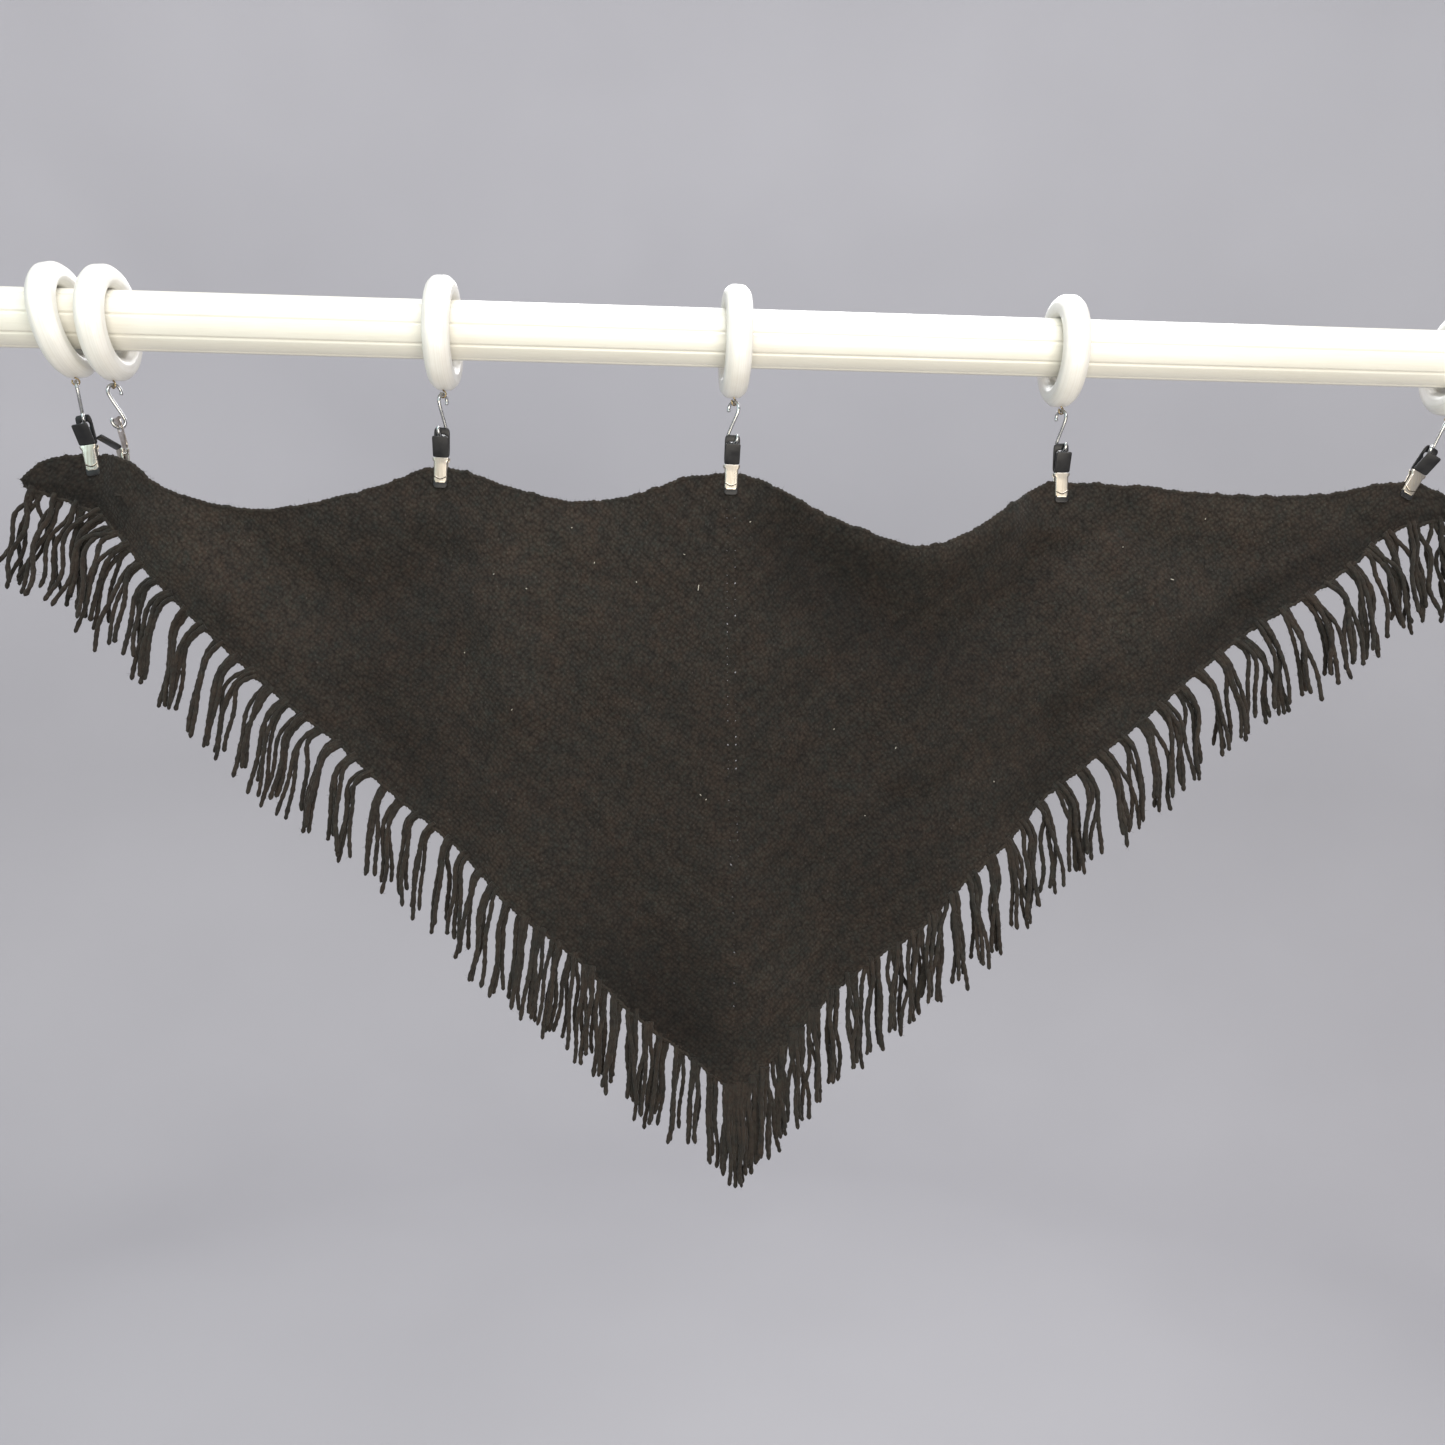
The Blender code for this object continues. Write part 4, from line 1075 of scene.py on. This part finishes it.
def makePole():
    form = bmesh.new()
    turn = Matrix.Rotation(math.pi / 2, 4, "Y")
    start = Matrix.Translation((-poleSizes["length"] / 2, 0.0, 0.0)) @ turn
    ring = bmesh.ops.create_circle(form, cap_ends=True, radius=poleSizes["radius"],
                                   segments=poleSizes["sides"], matrix=start)["verts"]
    sector = 360.0 / poleSizes["grooves"]
    for vert in ring:
        angle = math.degrees(math.atan2(vert.co.z, -vert.co.y)) - poleSizes["firstGroove"]
        off = (angle + sector / 2) % sector - sector / 2
        depth = poleSizes["grooveDepth"] * float(smooth(1.0 - abs(off) / poleSizes["grooveHalf"]))
        factor = 1.0 - depth / poleSizes["radius"]
        vert.co.y *= factor
        vert.co.z *= factor
    grown = bmesh.ops.extrude_face_region(form, geom=list(form.faces))
    moved = [item for item in grown["geom"] if isinstance(item, bmesh.types.BMVert)]
    bmesh.ops.translate(form, verts=moved, vec=(poleSizes["length"], 0.0, 0.0))
    bmesh.ops.recalc_face_normals(form, faces=form.faces)
    mesh = meshFrom(form, "pole")
    mesh.transform(Matrix.Scale(mm, 4))
    addPiece("pole", mesh, polePaint, ["curtain_pole"], 50.0)


makePole()


# Rings, eyes and hooks

wireTips = {"reach": 0.5, "radii": (0.62, 0.88, 0.98)}  # rounded ends of a wire, as shares of its radius


def makeRing(station):
    form = bmesh.new()
    # The ring rests on the pole, where the solids keep their gap
    outer, inner = ringSizes["outer"], ringSizes["inner"] - hangSizes["gap"]
    crown, half, rise = ringSizes["crownHalf"], ringSizes["halfWidth"], ringSizes["crownRise"]
    section = [(-crown, outer), (crown, outer), (half, outer - rise), (half, inner + rise),
               (crown, inner), (-crown, inner), (-half, inner + rise), (-half, outer - rise)]
    corners = [form.verts.new((x, 0.0, z)) for x, z in section]
    form.faces.new(corners)
    bmesh.ops.bevel(form, geom=corners, offset=ringSizes["edgeRound"], segments=4, profile=0.5,
                    affect="VERTICES", material=-1)
    bmesh.ops.delete(form, geom=list(form.faces), context="FACES_ONLY")
    bmesh.ops.spin(form, geom=list(form.verts) + list(form.edges), cent=(0, 0, 0), axis=(1, 0, 0),
                   angle=math.tau, steps=ringSizes["spinSteps"], use_merge=True)
    bmesh.ops.recalc_face_normals(form, faces=form.faces)
    mesh = meshFrom(form, "ring")
    points = readPoints(mesh)
    paintUv(mesh, np.stack([points[:, 0], np.hypot(points[:, 1], points[:, 2])], axis=1) * mm)
    mesh.transform(station["ringPlace"] @ Matrix.Scale(mm, 4))
    name = station["name"]
    addPiece("turned_ring_" + name, mesh, ringPaint, ["ring_" + name], 35.0)


def arcPoints(centreZ, radius, first, last, steps):
    angles = np.radians(np.linspace(first, last, steps + 1))
    return np.stack([radius * np.cos(angles), np.zeros(steps + 1), centreZ + radius * np.sin(angles)], axis=1)


def makeWire(name, route, radius, material, node, place):
    # Wire along the route, with its two ends rounded off
    beyond = radius * wireTips["reach"] * np.array([[1.0], [2 / 3], [1 / 3]])
    first = route[0] + unit(route[0] - route[1]) * beyond
    last = route[-1] + unit(route[-1] - route[-2]) * beyond[::-1]
    full = np.concatenate([first, route, last])
    radii = np.full(len(full), radius)
    radii[:3] *= wireTips["radii"]
    radii[-3:] *= wireTips["radii"][::-1]
    addForms(name, [wireForm(full, radii, 16)], place, material, [node], 60.0)


def makeEye(station):
    turn = Matrix.Rotation(math.radians(station["hookTurn"]) + math.pi / 2, 4, "Z")
    loop = arcPoints(0.0, eyeSizes["loop"], 90.0, 90.0 + eyeSizes["sweep"], eyeSizes["steps"])
    neck = np.array([[0.0, 0.0, eyeSizes["loop"] + eyeSizes["neckTop"]],
                     [0.0, 0.0, eyeSizes["loop"] + eyeSizes["neckLow"]]])
    name = station["name"]
    makeWire("eye_wire_" + name, np.concatenate([neck, loop[1:]]), eyeSizes["wire"], eyeBrass,
             "screw_eye_" + name, station["eyePlace"] @ turn)


def makeHook(station):
    turn = Matrix.Rotation(math.radians(station["hookTurn"]), 4, "Z")
    start, sweep = hookSizes["arcStart"], hookSizes["arcSweep"]
    upper = arcPoints(-hookSizes["arc"], hookSizes["arc"], start, start + sweep, hookSizes["steps"])
    lower = upper[::-1] * np.array([-1.0, 1.0, -1.0]) - np.array([0.0, 0.0, hookSizes["height"]])
    # The shank is a smooth curve from the end of the upper arc to the start of the lower one
    a, b = upper[-1], lower[0]
    pull = (upper[-1] - upper[-2]) * hookSizes["pull"]
    t = np.linspace(0.0, 1.0, hookSizes["shankSteps"])[1:-1, None]
    shank = a * (1 - t) ** 3 + b * t ** 3
    shank += (a + pull) * 3 * t * (1 - t) ** 2 + (b - pull) * 3 * t ** 2 * (1 - t)
    name = station["name"]
    makeWire("hook_wire_" + name, np.concatenate([upper, shank, lower]), hookSizes["wire"], hookChrome,
             "s_hook_" + name, station["hangPlace"] @ turn)


for station in stations:
    makeRing(station)
    makeEye(station)
    makeHook(station)
print("pole, rings and hooks made")


# Clips. Depths are measured down from the middle of the screw eye (mm).

clipSizes = {
    "gripTop": 28.6, "gripWidth": 13.6, "gripThick": 2.0, "gripSoften": 0.6, "gripLean": 8.0,
    "bareThick": 1.0, "bareSoften": 0.3, "footGap": 0.4,
    "slotWidth": 8.0, "slotHeight": 5.6, "slotTop": 34.5, "slotSides": 48,
    "frontLength": 18.5, "gripCorner": 1.6, "frontSpread": 2.5, "frontRise": 0.7, "frontGap": 0.3,
    "jawTop": 54.9, "jawKnee": 60.0, "plateEnd": 76.2, "jawTip": 81.0,
    "jawWidth": 12.2, "sheet": 0.7, "sheetSoften": 0.14, "shoulder": 3.4, "grip": 2.55, "crown": 0.35,
    "flange": 1.3, "flangeFrom": 0.84, "ears": 1.3, "earEnd": 3.4, "earBlend": 1.2,
    "tipWidth": 11.6, "tipThick": 1.3, "tipStart": 73.5, "tipSunk": 0.25, "tipCorner": 2.6, "tipSoften": 0.4,
    "chevronTop": 70.4, "chevronDrop": 2.4, "chevronWire": 0.32, "chevronInset": 1.1, "chevronRise": 0.02,
    "chevronShadowDrop": 0.70, "chevronShadowWire": 0.44,
    "springTurns": 5, "springRadius": 2.0, "springWire": 0.45, "springWidth": 8.6, "springDepth": 57.2,
    "curl": 1.5, "curlHalf": 5.6, "curlSunk": 0.3, "curlForward": 0.2,
}


def roundedBlock(width, thick, low, high, corner, soften):
    # A block that stands in X and Z, its four corners cut round and then all its rims softened
    form = bmesh.new()
    bmesh.ops.create_cube(form, size=1.0)
    for vert in form.verts:
        vert.co = (vert.co.x * width, vert.co.y * thick, low + (vert.co.z + 0.5) * (high - low))
    across = [edge for edge in form.edges if abs(edge.verts[0].co.y - edge.verts[1].co.y) > thick / 2]
    bmesh.ops.bevel(form, geom=across, offset=corner, segments=5, profile=0.5, affect="EDGES", material=-1)
    softenRims(form, soften)
    return form


def slottedPlate(width, low, high, thick, soften):
    # A plate with rounded corners and a slot with round ends near its top
    form = bmesh.new()
    slotMiddle = -(clipSizes["slotTop"] + clipSizes["slotHeight"] / 2)
    loops = []
    for halfWidth, halfHeight, middle, power in (
            (width / 2, (high - low) / 2, (high + low) / 2, 7.0),
            (clipSizes["slotWidth"] / 2, clipSizes["slotHeight"] / 2, slotMiddle, 3.0)):
        ring = bmesh.ops.create_circle(form, segments=clipSizes["slotSides"], radius=1.0)["verts"]
        for vert in ring:
            angle = math.atan2(vert.co.y, vert.co.x)
            c, s = math.cos(angle), math.sin(angle)
            reach = (abs(c / halfWidth) ** power + abs(s / halfHeight) ** power) ** (-1.0 / power)
            vert.co = (reach * c, 0.0, middle + reach * s)
        loops += [edge for edge in form.edges if edge.verts[0] in ring and edge.verts[1] in ring]
    bmesh.ops.bridge_loops(form, edges=loops)
    thicken(form, thick)
    middleY = sum(vert.co.y for vert in form.verts) / len(form.verts)
    bmesh.ops.translate(form, verts=form.verts, vec=(0.0, -middleY, 0.0))
    softenRims(form, soften)
    return form


def jawFace(depth, across):
    # How far a sheet of the jaw stands from the clip's middle, at a depth and a share of its half width
    slide = max(0.0, depth - clipSizes["jawKnee"]) / (clipSizes["jawTip"] - clipSizes["jawKnee"])
    return mix(clipSizes["shoulder"], clipSizes["grip"], slide) + clipSizes["crown"] * (1.0 - across ** 2)


def pressedJaw(facing):
    # One sprung sheet of the jaw, its sides folded back and small ears beside its top
    form = bmesh.new()
    bmesh.ops.create_grid(form, x_segments=20, y_segments=24, size=1.0)
    top = clipSizes["jawTop"]
    for vert in form.verts:
        across = vert.co.x
        depth = mix(top, clipSizes["plateEnd"], (1.0 - vert.co.y) / 2.0)
        ear = clipSizes["ears"] * float(smooth((top + clipSizes["earEnd"] - depth) / clipSizes["earBlend"]))
        folded = float(smooth((abs(across) - clipSizes["flangeFrom"]) / (1.0 - clipSizes["flangeFrom"])))
        y = jawFace(depth, across) - clipSizes["flange"] * folded
        vert.co = (across * (clipSizes["jawWidth"] / 2 + ear), y * facing, -depth)
    # The normals face outwards, so the outer face stays where it is
    thicken(form, clipSizes["sheet"], facing)
    softenRims(form, clipSizes["sheetSoften"], 2)
    return form


def chevronRoute(facing, lower):
    # Points of the V pressed into one sheet of the jaw
    half = clipSizes["jawWidth"] / 2
    route = []
    for step in np.linspace(-1.0, 1.0, 21):
        x = step * (half - clipSizes["chevronInset"])
        depth = clipSizes["chevronTop"] + lower + clipSizes["chevronDrop"] * (1.0 - abs(step) ** 1.4)
        route.append((x, (jawFace(depth, x / half) + clipSizes["chevronRise"]) * facing, -depth))
    return route


def makeClip(station):
    name, place = station["name"], station["clipPlace"]
    # The second clip's rear grip is bare metal, curled over at its top
    bare = name == "b"
    # Jaw: two pressed sheets, each with a raised chevron near its end, and a thin dark wire just below each
    # chevron as its painted shadow line
    forms, chevronShadowForms = [], []
    for facing in (-1.0, 1.0):
        forms.append(pressedJaw(facing))
        forms.append(wireForm(chevronRoute(facing, 0.0), clipSizes["chevronWire"]))
        chevronShadowForms.append(wireForm(chevronRoute(facing, clipSizes["chevronShadowDrop"]), clipSizes["chevronShadowWire"]))
    addForms("jaw_plates_" + name, forms, place, jawNickel, ["clip_%s_jaw" % name])
    addForms("jaw_chevron_shadows_" + name, chevronShadowForms, place, jawShade)
    # Rubber tips that hold the cloth, showing below the sheets
    tips = []
    for facing in (-1.0, 1.0):
        tip = roundedBlock(clipSizes["tipWidth"], clipSizes["tipThick"], -clipSizes["jawTip"],
                           -clipSizes["tipStart"], clipSizes["tipCorner"], clipSizes["tipSoften"])
        out = (clipSizes["grip"] - clipSizes["tipSunk"]) * facing
        bmesh.ops.translate(tip, verts=tip.verts, vec=(0.0, out, 0.0))
        tips.append(tip)
    addForms("jaw_tips_" + name, tips, place, gripVinyl)
    # Spring: a coil across the clip between the two sheets
    turns = np.linspace(0.0, clipSizes["springTurns"] * math.tau, clipSizes["springTurns"] * 16 + 1)
    coil = np.stack([(turns / turns[-1] - 0.5) * clipSizes["springWidth"],
                     clipSizes["springRadius"] * np.cos(turns),
                     clipSizes["springRadius"] * np.sin(turns) - clipSizes["springDepth"]], axis=1)
    spring = wireForm(coil, clipSizes["springWire"], reference=(1.0, 0.0, 0.0))
    addForms("jaw_spring_" + name, [spring], place, hookChrome, sharpAngle=70.0)
    # Rear grip, leaning back to its foot on the jaw
    kind = "bare" if bare else "grip"
    rear = [slottedPlate(clipSizes["gripWidth"], clipSizes["footGap"] - clipSizes["jawTop"],
                         -clipSizes["gripTop"], clipSizes[kind + "Thick"], clipSizes[kind + "Soften"])]
    if bare:
        top = (-clipSizes["curlForward"], -clipSizes["gripTop"] - clipSizes["curlSunk"])
        curl = [(x, *top) for x in np.linspace(-clipSizes["curlHalf"], clipSizes["curlHalf"], 12)]
        rear.append(wireForm(curl, clipSizes["curl"], 14))
    hinge = Matrix.Translation((0.0, 0.0, -clipSizes["slotTop"] * mm))
    lean = hinge @ Matrix.Rotation(math.radians(clipSizes["gripLean"]), 4, "X") @ hinge.inverted()
    addForms("rear_lever_" + name, rear, place @ lean, gripChrome if bare else gripVinyl,
             ["clip_%s_rear_grip" % name], 50.0)
    # Front grip, shorter and splayed forwards
    splay = math.radians(station["splay"])
    foot = clipSizes["frontRise"] * math.sin(splay) + clipSizes["frontGap"] - clipSizes["jawTop"]
    base = Matrix.Translation((0.0, -clipSizes["frontSpread"] * mm, foot * mm))
    front = roundedBlock(clipSizes["gripWidth"], clipSizes["gripThick"], 0.0, clipSizes["frontLength"],
                         clipSizes["gripCorner"], clipSizes["gripSoften"])
    addForms("front_lever_" + name, [front], place @ base @ Matrix.Rotation(splay, 4, "X"), gripVinyl,
             ["clip_%s_front_grip" % name], 50.0)


for station in stations:
    makeClip(station)
print("clips made")


# Pale flecks of lint on the front: x, z and length (mm), and heading in degrees

lintColumns = ("x", "z", "length", "heading")
lintFlecks = rowsOf(lintColumns, [
    (-147, -168, 1.2, 20), (-127, -198, 1.4, 70), (-90, -214, 1.2, 110), (-48, -189, 1.5, 160),
    (10, -159, 1.3, 40), (-30, -403, 1.6, 130), (-25, -407, 1.2, 60), (-35, -218, 5.0, 82),
    (89, -342, 1.2, 30), (145, -358, 1.8, 75), (237, -388, 1.2, 100), (119, -420, 1.0, 50),
    (393, -202, 3.0, 165), (422, -147, 1.2, 80), (346, -174, 1.1, 20), (-186, -222, 1.3, 140),
    (-214, -210, 1.0, 30), (-240, -279, 1.0, 90), (-197, -328, 1.3, 60),
])
lintSizes = {"radius": 0.32, "rise": 0.3, "search": 4.0}


def makeLint():
    material, tree, shader = startMaterial("paleLint", Roughness=0.9, Specular_IOR_Level=0.1)
    straw = ramp(tree, objectNoise(tree, 800.0), [(0.3, (0.36, 0.33, 0.27)), (0.7, (0.55, 0.53, 0.47))])
    setInputs(tree, shader, Base_Color=straw)
    front = np.concatenate([readPoints(leftCloth.data), readPoints(rightCloth.data)]) / mm
    forms = []
    for fleck in lintFlecks:
        near = np.hypot(front[:, 0] - fleck["x"], front[:, 2] - fleck["z"]) < lintSizes["search"]
        y = front[near, 1].min() - lintSizes["rise"]
        turn = math.radians(fleck["heading"])
        reach = np.array([math.cos(turn), 0.0, math.sin(turn)]) * fleck["length"] / 2
        middle = np.array([fleck["x"], y, fleck["z"]])
        forms.append(wireForm([middle - reach, middle + reach * 0.1, middle + reach], lintSizes["radius"], 6))
    addForms("lint", forms, Matrix.Identity(4), material, sharpAngle=70.0)


makeLint()


# The pinch of cloth that the second clip holds behind the front of the shawl

tuckSizes = {"top": 66.0, "low": 96.0, "topHalf": 4.6, "lowHalf": 8.0, "forward": 9.0, "forwardFrom": 0.3,
             "wall": 2.6}


def makeTuck(station):
    form = bmesh.new()
    bmesh.ops.create_grid(form, x_segments=10, y_segments=16, size=1.0)
    for vert in form.verts:
        down = (1.0 - vert.co.y) / 2.0
        turn = math.radians(station["clipTurn"]) * (1.0 - down)
        across = vert.co.x * mix(tuckSizes["topHalf"], tuckSizes["lowHalf"], down)
        depth = mix(tuckSizes["top"], tuckSizes["low"], down)
        forwardShare = (down - tuckSizes["forwardFrom"]) / (1.0 - tuckSizes["forwardFrom"])
        forward = tuckSizes["forward"] * float(smooth(forwardShare))
        vert.co = (across * math.cos(turn), across * math.sin(turn) - forward, -depth)
    thicken(form, tuckSizes["wall"])
    addForms("tuck_" + station["name"], [form], station["hangPlace"], yarnWool, sharpAngle=70.0)


makeTuck(stations[1])
print("lint and pinch of cloth made")


# Studio: a round pale floor that curves up into the wall, open at the top

studioSizes = {"floor": -1.7, "floorRadius": 2.2, "bend": 1.0, "top": 2.6, "bendSteps": 14, "spinSteps": 96}


def makeStudio():
    form = bmesh.new()
    floor, flat, bend = studioSizes["floor"], studioSizes["floorRadius"], studioSizes["bend"]
    profile = [(0.0, floor)]
    for k in range(studioSizes["bendSteps"] + 1):
        angle = math.pi / 2 * k / studioSizes["bendSteps"]
        profile.append((flat + bend * math.sin(angle), floor + bend * (1.0 - math.cos(angle))))
    profile.append((flat + bend, studioSizes["top"]))
    line = [form.verts.new((x, 0.0, z)) for x, z in profile]
    edges = [form.edges.new(pair) for pair in zip(line, line[1:])]
    bmesh.ops.spin(form, geom=line + edges, cent=(0, 0, 0), axis=(0, 0, 1), angle=math.tau,
                   steps=studioSizes["spinSteps"], use_merge=True)
    bmesh.ops.remove_doubles(form, verts=form.verts, dist=0.0001)
    material, tree, shader = startMaterial("studioPaper", Roughness=0.9, Specular_IOR_Level=0.1)
    soft = objectNoise(tree, 1.5, 2.0)
    colour = ramp(tree, soft, [(0.3, (0.408, 0.402, 0.420)), (0.7, (0.430, 0.424, 0.442))])
    setInputs(tree, shader, Base_Color=colour)
    mesh = meshFrom(form, "studio")
    mesh.materials.append(material)
    mesh.shade_smooth()
    paper = bpy.data.objects.new("studio_paper", mesh)
    bpy.context.scene.collection.objects.link(paper)


lampColumns = ("name", "place", "target", "width", "height", "power", "colour")
lamps = rowsOf(lampColumns, [
    ("key", (0.5, -1.9, 1.3), (0.0, 0.0, -0.3), 1.6, 1.0, 36.0, (0.98, 0.98, 1.0)),
    ("side", (-1.8, -1.6, 0.5), (-0.2, 0.0, -0.3), 1.2, 1.2, 15.0, (0.72, 0.97, 0.97)),
    ("low", (0.2, -1.6, -0.6), (0.0, 0.0, 0.1), 1.8, 0.8, 29.0, (1.0, 0.93, 0.80)),
    ("top", (0.15, -0.9, 1.8), (0.0, 0.0, -0.3), 1.8, 0.8, 32.0, (1.0, 0.99, 0.97)),
    ("wall", (0.0, 0.8, 2.2), (0.0, 3.2, -0.4), 3.0, 1.2, 46.0, (0.98, 0.97, 1.0)),
    ("back", (0.4, 2.0, 1.3), (0.0, 0.0, -0.3), 2.2, 1.2, 34.0, (0.99, 0.98, 1.0)),
])
worldLook = {"colour": (0.92, 0.95, 1.0, 1.0), "strength": 0.55}


def addLamp(name, place, target, width, height, power, colour):
    light = bpy.data.lights.new(name, "AREA")
    light.shape = "RECTANGLE"
    light.size, light.size_y = width, height
    light.energy = power
    light.color = colour
    lamp = bpy.data.objects.new(name, light)
    bpy.context.scene.collection.objects.link(lamp)
    lamp.location = place
    lamp.rotation_euler = (Vector(target) - Vector(place)).to_track_quat("-Z", "Y").to_euler()


def lightWorld():
    world = bpy.data.worlds.new("studio")
    bpy.context.scene.world = world
    world.use_nodes = True
    background = world.node_tree.nodes["Background"]
    setInputs(world.node_tree, background, Color=worldLook["colour"], Strength=worldLook["strength"])
    bpy.context.scene.view_settings.view_transform = "Standard"


makeStudio()
for lamp in lamps:
    addLamp(**lamp)
lightWorld()
print("studio made")
